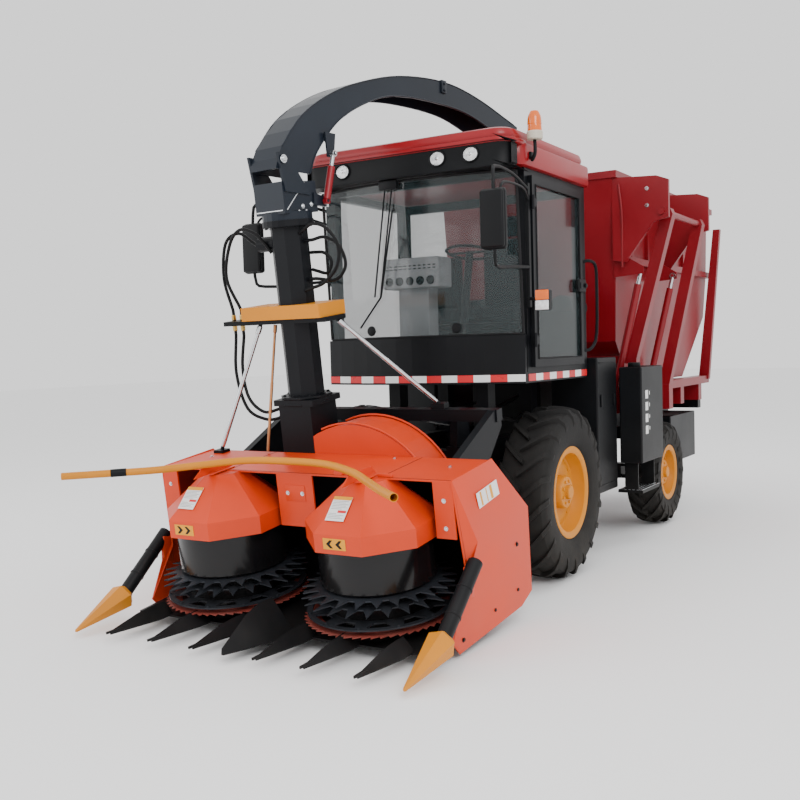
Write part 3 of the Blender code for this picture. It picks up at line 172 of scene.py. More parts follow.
ORANGE = finish("orange_paint", (0.62, 0.038, 0.0006), 0.42, mottle=0.05, clear=0.03, dust=0.06)
CRIMSON = finish("crimson_paint", (0.205, 0.003, 0.008), 0.38, mottle=0.08, clear=0.06)
ROOF_RED = finish("roof_red", (0.27, 0.006, 0.010), 0.34, mottle=0.05, clear=0.12)
YELLOW = finish("yellow_paint", (0.58, 0.205, 0.0003), 0.46, mottle=0.07, dust=0.06)
BLACK = finish("black_paint", (0.0045, 0.005, 0.0065), 0.40, mottle=0.25, dust=0.05)
GLOSS_BLACK = finish("drum_black", (0.003, 0.003, 0.004), 0.20, mottle=0.3, clear=0.3, dust=0.04)
SLATE = finish("slate_paint", (0.010, 0.014, 0.021), 0.34, mottle=0.15, clear=0.15)
TEETH = finish("tooth_steel", (0.022, 0.026, 0.034), 0.40, metal=0.3, mottle=0.3, dust=0.08)
SAW_RED = finish("saw_red", (0.22, 0.016, 0.010), 0.5, mottle=0.25, dust=0.3)
LINER_RED = finish("liner_red", (0.16, 0.008, 0.014), 0.45, mottle=0.2)
RUBBER = finish("tyre_rubber", (0.0065, 0.0065, 0.007), 0.66, mottle=0.3, grain=0.12, grain_scale=60,
                dust=0.12, dust_to=1.6)
HOSE = finish("hose_rubber", (0.005, 0.005, 0.0055), 0.45, mottle=0.2)
SEAL = finish("seal_rubber", (0.012, 0.012, 0.013), 0.6, mottle=0.2)
PLASTIC = finish("black_plastic", (0.006, 0.0065, 0.0075), 0.45, mottle=0.2, grain=0.06, grain_scale=300)
TANK = finish("tank_black", (0.0042, 0.0047, 0.0058), 0.42, mottle=0.3, grain=0.05, dust=0.06, dust_to=1.2)
GREY = finish("grey_plastic", (0.34, 0.35, 0.36), 0.5, mottle=0.06, grain=0.05, grain_scale=300)
IRON = finish("engine_iron", (0.012, 0.013, 0.014), 0.55, metal=0.3, mottle=0.3, dust=0.1, dust_to=1.6)
SILVER = finish("bright_steel", (0.62, 0.64, 0.66), 0.22, metal=1.0, mottle=0.08)
BRASS = finish("yellow_brass", (0.55, 0.36, 0.12), 0.30, metal=1.0, mottle=0.15)
COPPER = finish("copper_rod", (0.45, 0.20, 0.09), 0.38, metal=0.9, mottle=0.2)
WHITE = finish("white_film", (0.78, 0.78, 0.77), 0.45, mottle=0.05)
RED_FILM = finish("red_film", (0.62, 0.015, 0.02), 0.30, mottle=0.06)
AMBER_FILM = finish("amber_film", (0.72, 0.30, 0.004), 0.35, mottle=0.05)
CLOTH = finish("seat_cloth", (0.012, 0.013, 0.015), 0.85, mottle=0.3, scale=30, grain=0.2, grain_scale=400)
AMBER = finish("amber_lens", (0.75, 0.13, 0.002), 0.12, mottle=0.08, scale=12, clear=0.6)
CLEAR = finish("lamp_glass", (0.80, 0.82, 0.84), 0.06, metal=0.55, mottle=0.25, scale=45, clear=1.0,
               grain=0.6, grain_scale=70)
BEIGE = finish("lamp_base", (0.55, 0.50, 0.40), 0.4, mottle=0.06)


def glazing(name, tint, alpha):
    """A see-through finish with one constant opacity."""
    material = finish(name, tint, 0.05, mottle=0.10, scale=1.2, clear=0.6, grain=0.0, spread=0.02)
    shader = material.node_tree.nodes["Principled BSDF"]
    shader.inputs["Alpha"].default_value = alpha
    shader.inputs["Specular IOR Level"].default_value = 0.8
    return material


GLASS = glazing("cab_glass", (0.035, 0.055, 0.058), 0.24)

for node, material in {
    **{n: BLACK for n in ("main_frame", "front_axle", "rear_axle", "rear_left_knuckle",
                          "rear_right_knuckle",
                          "rear_box", "cab_floor", "cab_frame", "cab_door", "header_frame", "tower")},
    **{n: TANK for n in ("side_tank", "fuel_tank", "hydraulic_tank")},
    **{n: PLASTIC for n in ("roof_fascia", "left_mirror", "right_mirror", "steering_column", "beacon")},
    **{n: CRIMSON for n in ("bin", "bin_stand", "lift_cylinder", "front_tip_cylinder",
                            "rear_tip_cylinder")},
    **{n: ORANGE for n in ("header_deck", "blower_housing")},
    **{n: SILVER for n in ("lift_rod", "front_tip_rod", "rear_tip_rod")},
    **{n: GLASS for n in ("windshield", "right_window", "rear_window", "door_glass")},
    **{n: SLATE for n in ("spout", "swivel_head")},
    "cab_roof": ROOF_RED, "tower_band": YELLOW, "engine": IRON, "radiator": IRON, "air_unit": GREY,
}.items():
    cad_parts[node].data.materials.clear()
    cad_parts[node].data.materials.append(material)


# ================================================================ making shapes
WELD = 0.00002  # points this close become one


def edit(mode="SELECT"):
    """Opens the active mesh with all its vertices selected, or none of them."""
    bpy.ops.object.mode_set(mode="EDIT")
    bpy.ops.mesh.select_mode(type="VERT")
    bpy.ops.mesh.select_all(action=mode)


def leave():
    """Closes the mesh being edited and gives its object."""
    bpy.ops.object.mode_set(mode="OBJECT")
    return bpy.context.object


def choose(objects):
    """Selects these objects alone, and makes the first active."""
    bpy.ops.object.select_all(action="DESELECT")
    for obj in objects:
        obj.select_set(True)
    bpy.context.view_layer.objects.active = objects[0]


def put(piece, place=None):
    """Settles the piece's place into its mesh, then carries it by a matrix."""
    choose([piece])
    bpy.ops.object.transform_apply(location=True, rotation=True, scale=True)
    if place is not None:
        piece.data.transform(place)
    piece.data.update()
    return piece


def block(lo, hi, edge=0.004, place=None, segments=2):
    """A box between two corners with its edges bevelled."""
    size = [b - a for a, b in zip(lo, hi)]
    bpy.ops.mesh.primitive_cube_add(size=1, location=[(a + b) / 2 for a, b in zip(lo, hi)], scale=size)
    piece = put(bpy.context.object)
    if edge:
        edit()
        bpy.ops.mesh.bevel(offset=min(edge, 0.4 * min(size)), segments=segments, affect="EDGES")
        leave()
    return put(piece, place)


def lathe(profile, steps=48, place=None, closed=False):
    """A (radius, height) profile drawn by extruding a point, then spun about Z."""
    bpy.ops.mesh.primitive_plane_add(size=0.02)
    edit()
    bpy.ops.mesh.merge(type="CENTER")
    bpy.ops.transform.translate(value=(profile[0][0], 0, profile[0][1]))
    for (r0, h0), (r1, h1) in zip(profile, profile[1:]):
        bpy.ops.mesh.extrude_vertices_move(TRANSFORM_OT_translate={"value": (r1 - r0, 0, h1 - h0)})
    if closed:
        bpy.ops.mesh.extrude_vertices_move(TRANSFORM_OT_translate={"value": (profile[0][0] - profile[-1][0],
                0, profile[0][1] - profile[-1][1])})
    bpy.ops.mesh.select_all(action="SELECT")
    bpy.ops.mesh.spin(steps=steps, angle=2 * pi, center=(0, 0, 0), axis=(0, 0, 1))
    bpy.ops.mesh.select_all(action="SELECT")
    bpy.ops.mesh.remove_doubles(threshold=WELD)
    bpy.ops.mesh.normals_make_consistent(inside=False)
    return put(leave(), place)


def line(points, closed=False, dimensions="3D"):
    """A curve with one straight-sided run through each list of points."""
    data = bpy.data.curves.new("line", "CURVE")
    data.dimensions = dimensions
    for run in points:
        spline = data.splines.new("POLY")
        spline.points.add(len(run) - 1)
        for point, co in zip(spline.points, run):
            point.co = (*co, 1)
        spline.use_cyclic_u = closed
    obj = bpy.data.objects.new("line", data)
    link(obj)
    return obj


def outward():
    """Turns the faces of the active mesh to face out and gives its object."""
    edit()
    bpy.ops.mesh.normals_make_consistent(inside=False)
    return leave()


def thicken(sheet, thickness, offset=-1):
    """Gives the active sheet a wall."""
    wall = sheet.modifiers.new("wall", "SOLIDIFY")
    wall.thickness, wall.offset = thickness, offset
    bpy.ops.object.modifier_apply(modifier="wall")


def to_mesh(obj, place=None):
    """The curve as a closed mesh, carried by a matrix."""
    choose([obj])
    bpy.ops.object.convert(target="MESH")
    edit()
    bpy.ops.mesh.remove_doubles(threshold=WELD)
    bpy.ops.mesh.normals_make_consistent(inside=False)
    return put(leave(), place)


def plate(outlines, thick, place=None, edge=0.0):
    """Flat outlines in X and Y, an outer one and any holes, thickened about Z = 0."""
    obj = line([[(x, y, 0) for x, y in outline] for outline in outlines], closed=True, dimensions="2D")
    obj.data.fill_mode = "BOTH"
    obj.data.extrude = thick / 2 - edge
    obj.data.bevel_depth, obj.data.bevel_resolution, obj.data.offset = edge, 1 if edge else 0, -edge
    return to_mesh(obj, place)


def film(x0, y0, x1, y1, thick, place):
    """A thin rectangle lying on Z = 0."""
    return plate([[(x0, y0), (x1, y0), (x1, y1), (x0, y1)]], thick, place)


def curve_through(knots, per=6):
    """Points on a smooth curve through the knots."""
    knots = [Vector(k) for k in knots]
    knots = [2 * knots[0] - knots[1]] + knots + [2 * knots[-1] - knots[-2]]
    out = []
    for a, b, c, d in zip(knots, knots[1:], knots[2:], knots[3:]):
        for k in range(per):
            t = k / per
            out.append(0.5 * (2 * b + (c - a) * t + (2 * a - 5 * b + 4 * c - d) * t * t
                              + (3 * b - a - 3 * c + d) * t ** 3))
    return out + [knots[-2]]


def tube(points, radius, place=None, resolution=4):
    """A capped round bar along the points."""
    obj = line([[tuple(p) for p in points]])
    obj.data.bevel_depth, obj.data.bevel_resolution, obj.data.use_fill_caps = radius, resolution, True
    return to_mesh(obj, place)


def facing(p, q):
    """A matrix with its Z from p towards q, at p."""
    return move(p) @ (Vector(q) - Vector(p)).to_track_quat("Z", "Y").to_matrix().to_4x4()


def bolt(place, size=0.012, washer=True):
    """A hexagon head on its washer, standing on Z = 0."""
    bpy.ops.mesh.primitive_cylinder_add(vertices=6, radius=size, depth=size * 0.8,
                                        location=(0, 0, size * 0.6))
    head = put(bpy.context.object)
    edit()
    bpy.ops.mesh.bevel(offset=size * 0.1, segments=1, affect="EDGES")
    leave()
    parts = [put(head)]
    if washer:
        bpy.ops.mesh.primitive_cylinder_add(vertices=18, radius=size * 1.5, depth=size * 0.25,
                                            location=(0, 0, size * 0.12))
        parts.append(put(bpy.context.object))
    return put(merged(parts), place)


def merged(parts):
    """The parts joined into the first one."""
    choose(parts)
    if len(parts) > 1:
        bpy.ops.object.join()
    return bpy.context.object


def copied(piece, place):
    """A copy with its own mesh, which a mirroring matrix leaves facing out."""
    twin = piece.copy()
    twin.data = piece.data.copy()
    link(twin)
    twin.data.transform(place)
    if place.determinant() < 0:
        twin.data.flip_normals()
    return twin


def piece(name, parts, body, material, smooth=32, replaces=(), slot=None):
    """One named piece of the model, riding on a body. Edges sharper than smooth degrees stay sharp."""
    made = merged(parts)
    made.name = made.data.name = name
    made.data.materials.clear()
    made.data.materials.append(material)
    put(made)
    bpy.ops.object.shade_smooth_by_angle(angle=radians(smooth))
    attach(made, body)
    if replaces:
        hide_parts(*replaces)
    return made


MIRROR = Matrix.Scale(-1, 4, (1, 0, 0))
ACROSS = rotate(QUARTER, "Y")  # a lathe's height becomes +X


# ================================================================ wheels
def lug(radius, half, pitch, hand):
    """One bar of the tread, from the middle line to the shoulder and a little down the wall."""
    bpy.ops.mesh.primitive_cube_add(size=1)
    bar = put(bpy.context.object)
    edit("DESELECT")
    leave()
    for e in bar.data.edges:
        a, b = (bar.data.vertices[i].co for i in e.vertices)
        e.select = abs(a.x - b.x) > 0.5
    bpy.ops.object.mode_set(mode="EDIT")
    bpy.ops.mesh.select_mode(type="EDGE")
    bpy.ops.mesh.subdivide(number_cuts=7)
    bpy.ops.mesh.select_mode(type="VERT")
    leave()
    for v in bar.data.vertices:
        s = v.co.x + 0.5  # 0 at the middle, 1 at the end on the wall
        top, side = v.co.z > 0, v.co.y
        across = -0.016 + (half + 0.014) * min(1.0, s * 1.12)
        drop = max(0.0, s - 0.72) / 0.28
        reach = radius - 0.030 * (across / half) ** 2 - 0.085 * drop ** 1.3
        r = reach if top else reach - 0.055
        if top and s > 0.86:
            r -= 0.01
        wide = (0.030 + 0.016 * s) * (0.78 if top else 1.25)
        angle = 0.36 * min(s, 0.93) ** 1.15 * 0.63 / radius + side * wide / radius * 1.25
        v.co = (hand * min(across, half - (0.0 if top else 0.012)), -r * cos(angle), r * sin(angle))
    outward()
    bar.data.transform(rotate(0 if hand > 0 else -pitch / 2, "X"))
    return bar


def wheel(end, radius, width, bead_r, bead_w, centre, lugs, dish, hub_out, bolts):
    """The left and right wheels of one axle: lugged tyre, dished rim with studs, and valve."""
    half = width / 2
    base = radius - 0.036
    mid = 0.5 * (radius + bead_r)
    wall = [(bead_r, bead_w / 2), (bead_r + 0.010, bead_w / 2 + 0.012),
            (bead_r + 0.030, bead_w / 2 + 0.010), (bead_r + 0.036, bead_w / 2 + 0.016),
            (bead_r + 0.060, half - 0.022), (mid - 0.01, half - 0.008), (mid + 0.05, half - 0.010),
            (base - 0.05, half - 0.016), (base - 0.020, half - 0.034), (base - 0.004, half - 0.07),
            (base, half * 0.35), (base + 0.002, 0)]
    carcass = lathe(wall + [(r, -h) for r, h in wall[-2::-1]], 72, ACROSS, closed=True)
    bars = []
    pitch = 2 * pi / lugs
    for hand in (1, -1):
        first = lug(radius, half, pitch, hand)
        bars += [copied(first, rotate(pitch * k, "X")) for k in range(lugs)]
        bpy.data.objects.remove(first)
    tyre = merged([carcass] + bars)
    edge, lip, barrel = bead_w / 2 + 0.001, bead_w / 2 + 0.012, bead_r - 0.001
    profile = [(0, hub_out), (0.045, hub_out), (0.050, hub_out - 0.006), (0.052, hub_out - 0.03),
               (0.112, hub_out - 0.034), (0.120, hub_out - 0.045), (0.124, dish + 0.012),
               (0.150, dish + 0.008), (barrel * 0.62, dish + 0.020), (barrel * 0.80, dish + 0.006),
               (barrel - 0.045, dish + 0.012), (barrel - 0.030, dish + 0.05), (barrel - 0.026, lip - 0.01),
               (barrel - 0.012, lip), (bead_r + 0.018, lip + 0.002), (bead_r + 0.024, lip - 0.002),
               (bead_r + 0.024, edge), (barrel, edge), (barrel, -edge), (bead_r + 0.024, -edge),
               (bead_r + 0.024, -lip), (barrel - 0.012, -lip), (barrel - 0.03, dish - 0.05),
               (barrel - 0.05, dish - 0.006), (0.12, dish - 0.006), (0.11, -0.02), (0, -0.02)]
    disc = lathe(profile, 72, ACROSS)
    studs = []
    for k in range(bolts):
        angle = 2 * pi * (k + 0.5) / bolts
        spot = Vector((hub_out - 0.034, 0.082 * cos(angle), 0.082 * sin(angle)))
        studs.append(bolt(move(spot) @ ACROSS, 0.011))
        spot = Vector((dish + 0.012, barrel * 0.70 * cos(angle + 0.3), barrel * 0.70 * sin(angle + 0.3)))
        if k % 2 == 0:
            studs.append(bolt(move(spot) @ ACROSS, 0.010))
    rim = merged([disc] + studs)
    valve = tube([(dish + 0.02, 0, barrel - 0.05), (dish + 0.06, 0, barrel - 0.055)], 0.006)
    for side, sign in SIDES:
        place = move((sign * centre[0], centre[1], centre[2]))
        if sign < 0:
            place = place @ MIRROR
        name = f"{end}_{side}"
        piece(f"{name}_tyre_tread", [copied(tyre, place)], f"{name}_wheel", RUBBER, 28, [f"{name}_tyre"])
        piece(f"{name}_rim_dish", [copied(rim, place)], f"{name}_wheel", YELLOW, 32, [f"{name}_rim"])
        piece(f"{name}_valve", [copied(valve, place)], f"{name}_wheel", BRASS)
    for spare in (tyre, rim, valve):
        bpy.data.objects.remove(spare)


wheel("front", 0.6325, 0.38, 0.315, 0.28, at(0.83, 0, 0.6325), 20, 0.04, 0.15, 8)
wheel("rear", 0.4825, 0.32, 0.235, 0.24, at(0.84, 2.50, 0.4825), 18, 0.04, 0.12, 6)

# ================================================================ rotors
DECK = 0.835  # height of the header's top plate in its own frame
ROTOR_X = 0.55
RING_TEETH, WEB_HOLES, SAW_TEETH = 24, 12, 54


def circle(radius, count, start=0.0, centre=(0, 0)):
    """Points round a circle."""
    return [(centre[0] + radius * cos(start + 2 * pi * k / count),
             centre[1] + radius * sin(start + 2 * pi * k / count)) for k in range(count)]


def toothed(count, root, tip, lean, width):
    """The outline of a ring with pointed teeth."""
    out = []
    for k in range(count):
        a = 2 * pi * k / count
        for r, da in ((root, -width), (root + (tip - root) * 0.45, -width * 0.42 + lean * 0.4), (tip, lean),
                      (root + (tip - root) * 0.45, width * 0.42 + lean * 0.4), (root, width)):
            out.append((r * cos(a + da), r * sin(a + da)))
    return out


def bent(ring, root, drop):
    """Teeth turned down beyond the root radius."""
    for v in ring.data.vertices:
        r = hypot(v.co.x, v.co.y)
        v.co.z -= drop * max(0.0, (r - root)) / 0.1
    return ring


def saw(count, root, tip):
    """The outline of a ring with raked teeth."""
    out = []
    for k in range(count):
        a = 2 * pi * k / count
        step = 2 * pi / count
        out += [(root * cos(a), root * sin(a)), (tip * cos(a + step * 0.12), tip * sin(a + step * 0.12))]
    return out


def web_hole(angle, span, inner, outer, steps=7):
    """A rounded opening in the carrier disc."""
    out = [(outer * cos(angle + span * (t / steps - 0.5)), outer * sin(angle + span * (t / steps - 0.5)))
           for t in range(steps + 1)]
    out += [(inner * cos(angle - span * 0.55 * (t / steps - 0.5)),
             inner * sin(angle - span * 0.55 * (t / steps - 0.5))) for t in range(steps + 1)]
    return out


for side, sign in SIDES:
    body = f"{side}_rotor"
    seat = HEADER @ move((sign * ROTOR_X, 0, 0)) @ (Matrix.Identity(4) if sign > 0 else MIRROR)
    drum = lathe([(0, 0.232), (0.30, 0.232), (0.338, 0.236), (0.344, 0.244), (0.344, 0.545), (0.340, 0.55),
                  (0, 0.55)], 72, seat)
    under = lathe([(0, 0.012), (0.20, 0.012), (0.29, 0.03), (0.30, 0.05), (0.30, 0.234), (0, 0.234)], 64,
                  seat)
    piece(f"{side}_drum", [drum, under], body, GLOSS_BLACK, 30, [body])
    rings = []
    for k, (height, tip) in enumerate(((0.222, 0.456), (0.172, 0.465))):
        ring = bent(plate([toothed(RING_TEETH, 0.372, tip, 0.0, 0.085), circle(0.29, 40)], 0.008), 0.36,
                    0.012)
        rings.append(put(ring, seat @ move((0, 0, height)) @ rotate(k * pi / RING_TEETH, "Z")))
    web = plate([circle(0.440, 80)]
                + [web_hole(2 * pi * k / WEB_HOLES, 0.36, 0.335, 0.405) for k in range(WEB_HOLES)]
                + [circle(0.20, 32)], 0.009)
    rings.append(put(web, seat @ move((0, 0, 0.078))))
    rings += [bolt(seat @ rotate(2 * pi * k / WEB_HOLES + 0.26, "Z") @ move((0.425, 0, 0.0825)), 0.008)
              for k in range(WEB_HOLES)]
    piece(f"{side}_tooth_rings", rings, body, TEETH, 30)
    blade = plate([saw(SAW_TEETH, 0.432, 0.460), circle(0.36, 60)], 0.006, seat @ move((0, 0, 0.042)))
    piece(f"{side}_saw_ring", [blade], body, SAW_RED, 25)

# ================================================================ header: points, panels and covers
def plough(x, width, reach, height):
    """A pointed gathering finger with a raised back."""
    bpy.ops.mesh.primitive_cube_add(size=1)
    point = put(bpy.context.object)
    edit()
    bpy.ops.mesh.subdivide(number_cuts=3)
    leave()
    for v in point.data.vertices:
        s = v.co.y + 0.5  # 0 at the tip, 1 at the root
        spread = width * (0.06 + 0.94 * min(1.0, s * 1.35) ** 0.9)
        ridge = 1.0 - min(1.0, abs(v.co.x) * 2) ** 1.2
        top = v.co.z > -0.3
        y = -reach + s * (reach - 0.33)
        rise = 0.10 * max(0.0, -y - 0.36)
        lift = (0.010 + height * ridge * (0.15 + 0.85 * min(1.0, s * 1.6))) * (v.co.z + 0.5 if top else 0.0)
        v.co = (x + v.co.x * spread, y, -0.043 + rise + lift)
    outward()
    return put(point, HEADER)


fingers = [plough(x, 0.125, 0.79, 0.075) for x in (0.23, -0.23, 0.55, -0.55, 0.89, -0.89)]
fingers.append(plough(0, 0.26, 0.80, 0.20))
piece("gathering_points", fingers, "header", BLACK, 20)
PANEL = [(-2.03, 0.975, 1.094), (-1.53, 1.045, 1.094), (-1.09, 0.70, 1.120), (-1.08, 0.17, 1.132),
         (-1.23, 0.105, 1.132), (-2.05, 0.03, 1.132), (-2.13, 0.11, 1.130), (-1.93, 0.43, 1.126)]
for side, sign in SIDES:
    bpy.ops.mesh.primitive_circle_add(vertices=8, radius=1, fill_type="NGON")
    panel = put(bpy.context.object)
    edit()
    bpy.ops.mesh.poke()
    leave()
    for v in panel.data.vertices:
        if v.co.length < 0.1:
            v.co = at(1.160, -1.87, 0.62)
        else:
            y, z, x = PANEL[round(atan2(v.co.y, v.co.x) / (pi / 4)) % 8]
            v.co = at(x, y, z)
    outward()
    if panel.data.polygons[0].normal.x < 0:
        panel.data.flip_normals()
    thicken(panel, 0.010)
    rim = [tube([at(x - 0.006, y, z) for y, z, x in PANEL + PANEL[:1]], 0.006)]
    fixings = [bolt(move(at(1.133, y, z)) @ ACROSS, 0.011)
               for y, z in ((-1.30, 0.50), (-1.30, 0.22), (-1.62, 0.17), (-2.02, 0.10))]
    made = [panel] + rim
    if sign < 0:
        for spare in made + fixings:
            spare.data.transform(MIRROR)
            spare.data.flip_normals()
    piece(f"{side}_side_sheet", made, "header", ORANGE, 8, [f"{side}_side_panel"])
    piece(f"{side}_side_bolts", fixings, "header", BLACK)
    top, low = at(sign * 1.175, -1.93, 0.52), at(sign * 1.175, -2.36, 0.153)
    way = facing(top, low)
    length = (low - top).length
    barrel = lathe([(0, 0), (0.040, 0), (0.044, 0.004)]
                   + [p for k in (0.18, 0.36, 0.50)
                      for p in ((0.044, k), (0.0475, k + 0.002), (0.0475, k + 0.012), (0.044, k + 0.014))]
                      + [(0.044, length), (0, length)], 32, way)
    piece(f"{side}_divider_tube", [barrel], "header", BLACK, 30, [f"{side}_divider"])
    nose = facing(at(sign * 1.175, -2.315, 0.178), at(sign * 1.175, -2.74, 0.036))
    cone = lathe([(0, 0), (0.062, 0), (0.086, 0.030), (0.084, 0.044), (0.010, 0.430), (0, 0.440)], 6,
                 nose @ rotate(0.26, "Z"))
    piece(f"{side}_divider_cone", [cone], "header", YELLOW, 12)
    lug_box = block((1.131, -2.00 + FRONT, 0.32), (1.160, -1.92 + FRONT, 0.50), 0.005)
    if sign < 0:
        lug_box.data.transform(MIRROR)
        lug_box.data.flip_normals()
    piece(f"{side}_divider_lug", [lug_box], "header", ORANGE)

# the bent push bar with its black band and open ends
BAR = [(-1.18, -2.778, 1.00), (-0.98, -2.60, 1.005), (-0.78, -2.40, 1.01), (-0.56, -2.22, 1.03),
       (-0.30, -2.12, 1.055), (0, -2.10, 1.06), (0.30, -2.12, 1.055), (0.56, -2.22, 1.03),
       (0.78, -2.40, 1.01), (0.98, -2.60, 1.005), (1.18, -2.778, 1.00)]
obj = line([[tuple(p) for p in curve_through([at(*p) for p in BAR], 8)]])
BAR_R = 0.0225
obj.data.bevel_depth, obj.data.bevel_resolution = BAR_R, 6
bar = to_mesh(obj)
thicken(bar, 0.003)
mounts = []
for x in (-ROTOR_X, ROTOR_X):
    mounts.append(plate([[(-0.26, 0), (0.10, 0), (0.06, 0.05), (-0.16, 0.062)]], 0.007,
                        HEADER @ move((x - 0.02, 0, DECK)) @ rotate(QUARTER, "X") @ rotate(QUARTER, "Y")))
    mounts.append(block((x - 0.024, -0.14, DECK + 0.001), (x + 0.03, 0.07, DECK + 0.008), 0.002, HEADER))
piece("push_bar_tube", [bar], "header", YELLOW, 40, ["push_bar"])
piece("push_bar_brackets", mounts, "header", ORANGE)
band = tube([at(-0.965, -2.587, 1.0055), at(-0.90, -2.522, 1.0075)], 0.0245, resolution=6)
piece("push_bar_band", [band], "header", BLACK)

# labels, chevrons and small fittings on the covers
COVER_R = 0.41  # corner radius of the eight-sided covers
FACE = COVER_R * cos(pi / 8)
for side, x in (("left", 0.53), ("right", -0.585)):
    skirt = HEADER @ move((x, -FACE - 0.0012, 0.548)) @ rotate(QUARTER, "X")
    piece(f"{side}_chevron_plate", [film(-0.075, -0.032, 0.075, 0.032, 0.002, skirt)], "header", AMBER_FILM)
    flip = 1 if side == "left" else -1
    arrows = [plate([[(c + flip * -0.022, 0), (c + flip * 0.004, 0.023), (c + flip * 0.022, 0.023),
                      (c + flip * 0.002, 0), (c + flip * 0.022, -0.023), (c + flip * 0.004, -0.023)]],
                      0.001, skirt @ move((0, 0, 0.0014))) for c in (-0.032, 0.030)]
    piece(f"{side}_chevrons", arrows, "header", PLASTIC)
slope = atan2(0.83 - 0.60, FACE - 0.13 * cos(pi / 8))
for side, x in (("left", 0.50), ("right", -0.615)):
    spot = HEADER @ move((x, -0.262, 0.7125)) @ rotate(slope, "X")
    sheet = [film(-0.062, -0.075, 0.062, 0.085, 0.002, spot)]
    piece(f"{side}_label", sheet, "header", WHITE)
    piece(f"{side}_label_head", [film(-0.062, 0.062, 0.062, 0.085, 0.001, spot @ move((0, 0, 0.0014)))],
          "header", AMBER_FILM)
    piece(f"{side}_label_tab", [film(0.0, -0.022, 0.056, -0.006, 0.001, spot @ move((0, 0, 0.0014)))],
          "header", RED_FILM)
    lines = [block((-0.055, v, 0.0008), (w, v + 0.003, 0.0018), 0, spot)
             for v, w in ((0.052, 0.05), (0.042, 0.03), (0.032, 0.055), (0.022, 0.04), (0.012, 0.05),
                          (0.002, 0.02), (-0.03, -0.005), (-0.04, 0.05), (-0.05, 0.03), (-0.06, 0.05))]
    piece(f"{side}_label_lines", lines, "header", GREY)
deck_bits = [block((-0.075, -0.0035, 0.66), (0.075, -0.0003, 0.76), 0.001, HEADER),
             block((-0.66, 0.02, DECK), (-0.60, 0.05, DECK + 0.025), 0.004, HEADER),
             block((0.30, 0.0, DECK), (0.36, 0.035, DECK + 0.03), 0.004, HEADER),
             block((0.60, 0.01, DECK), (0.70, 0.03, DECK + 0.02), 0.004, HEADER)]
piece("deck_fittings", deck_bits, "header", ORANGE)
heads = [bolt(HEADER @ move(p) @ (rotate(QUARTER, "X") if f else Matrix.Identity(4)), 0.009)
         for p, f in (((-0.055, -0.0035, 0.71), 1), ((0.055, -0.0035, 0.71), 1),
                      ((0.33, 0.017, DECK + 0.03), 0), ((-0.63, 0.035, DECK + 0.025), 0),
                      ((1.03, -0.0003, 0.72), 1), ((-1.03, -0.0003, 0.72), 1), ((1.03, -0.0003, 0.56), 1),
                      ((0.92, 0.30, DECK), 0), ((-0.92, 0.30, DECK), 0), ((0.45, 0.45, DECK), 0))]
piece("deck_bolts", heads, "header", SILVER)
seams = [block((x - 0.002, 0.01, DECK - 0.001), (x + 0.002, 0.50, DECK + 0.0008), 0, HEADER)
         for x in (0.62, -0.52)]
seams.append(block((-1.08, 0.010, DECK - 0.001), (1.08, 0.013, DECK + 0.0008), 0, HEADER))
piece("deck_seams", seams, "header", SEAL, slot="black_paint")
spot = move(at(1.1265, -1.66, 0.86)) @ rotate(radians(-8), "Y") @ ACROSS @ rotate(radians(100), "Z")
strip = [film(-0.14, -0.045, 0.14, 0.045, 0.002, spot)]
piece("side_label", strip, "header", WHITE)
piece("side_label_bars",
      [block((a, -0.04, 0.0008), (b, 0.04, 0.002), 0, spot)
       for a, b in ((-0.10, -0.08), (-0.02, -0.01), (0.03, 0.06))], "header", AMBER_FILM)

# ================================================================ blower and tower
arc = [(0.10 + 0.612 * cos(radians(k)), 0.43 + 0.612 * sin(radians(k))) for k in range(22, 115, 6)]
lip = [tube([(x, a, b) for x, b in arc], 0.007, HEADER, 3) for a in (0.510, 0.797)]
piece("blower_rims", lip, "header", ORANGE)
piece("blower_bolts",
      [bolt(HEADER @ move((x * 0.94 + 0.006, 0.8003, b * 0.94 + 0.026)) @ rotate(-QUARTER, "X"), 0.008)
       for x, b in arc[::3]], "header", SILVER)
here = HEADER @ move((TOWER.x, TOWER.y, 0))
flanges = [lathe([(0.116, z), (0.175, z), (0.178, z + 0.003), (0.178, z + 0.013), (0.175, z + 0.016),
                  (0.116, z + 0.016)], 8, here @ rotate(pi / 8, "Z"), closed=True) for z in (1.150, 1.192)]
flanges += [bolt(here @ rotate(pi * k / 4, "Z") @ move((0.148, 0, 1.208)), 0.010) for k in range(8)]
flanges += [bolt(here @ rotate(pi * k / 6, "Z") @ move((0.150, 0, 2.318)) @ rotate(pi, "X"), 0.008)
            for k in range(12)]
piece("tower_flanges", flanges, "header", BLACK, 25)


def sleeve(start, stop, radius, trim=0.03):
    """A brace of two lapping tubes with a collar."""
    way = facing(start, stop)
    length = (Vector(stop) - Vector(start)).length
    return lathe([(0, trim), (radius + 0.004, trim), (radius + 0.004, trim + 0.05), (radius, trim + 0.055),
                  (radius, length * 0.45), (radius + 0.0015, length * 0.46),
                  (radius + 0.0015, length - trim - 0.03), (radius, length - trim), (0, length - trim)], 24,
                  way)


def h(x, a, b):
    """A point in the header's own frame."""
    return HEADER @ Vector((x, a, b))


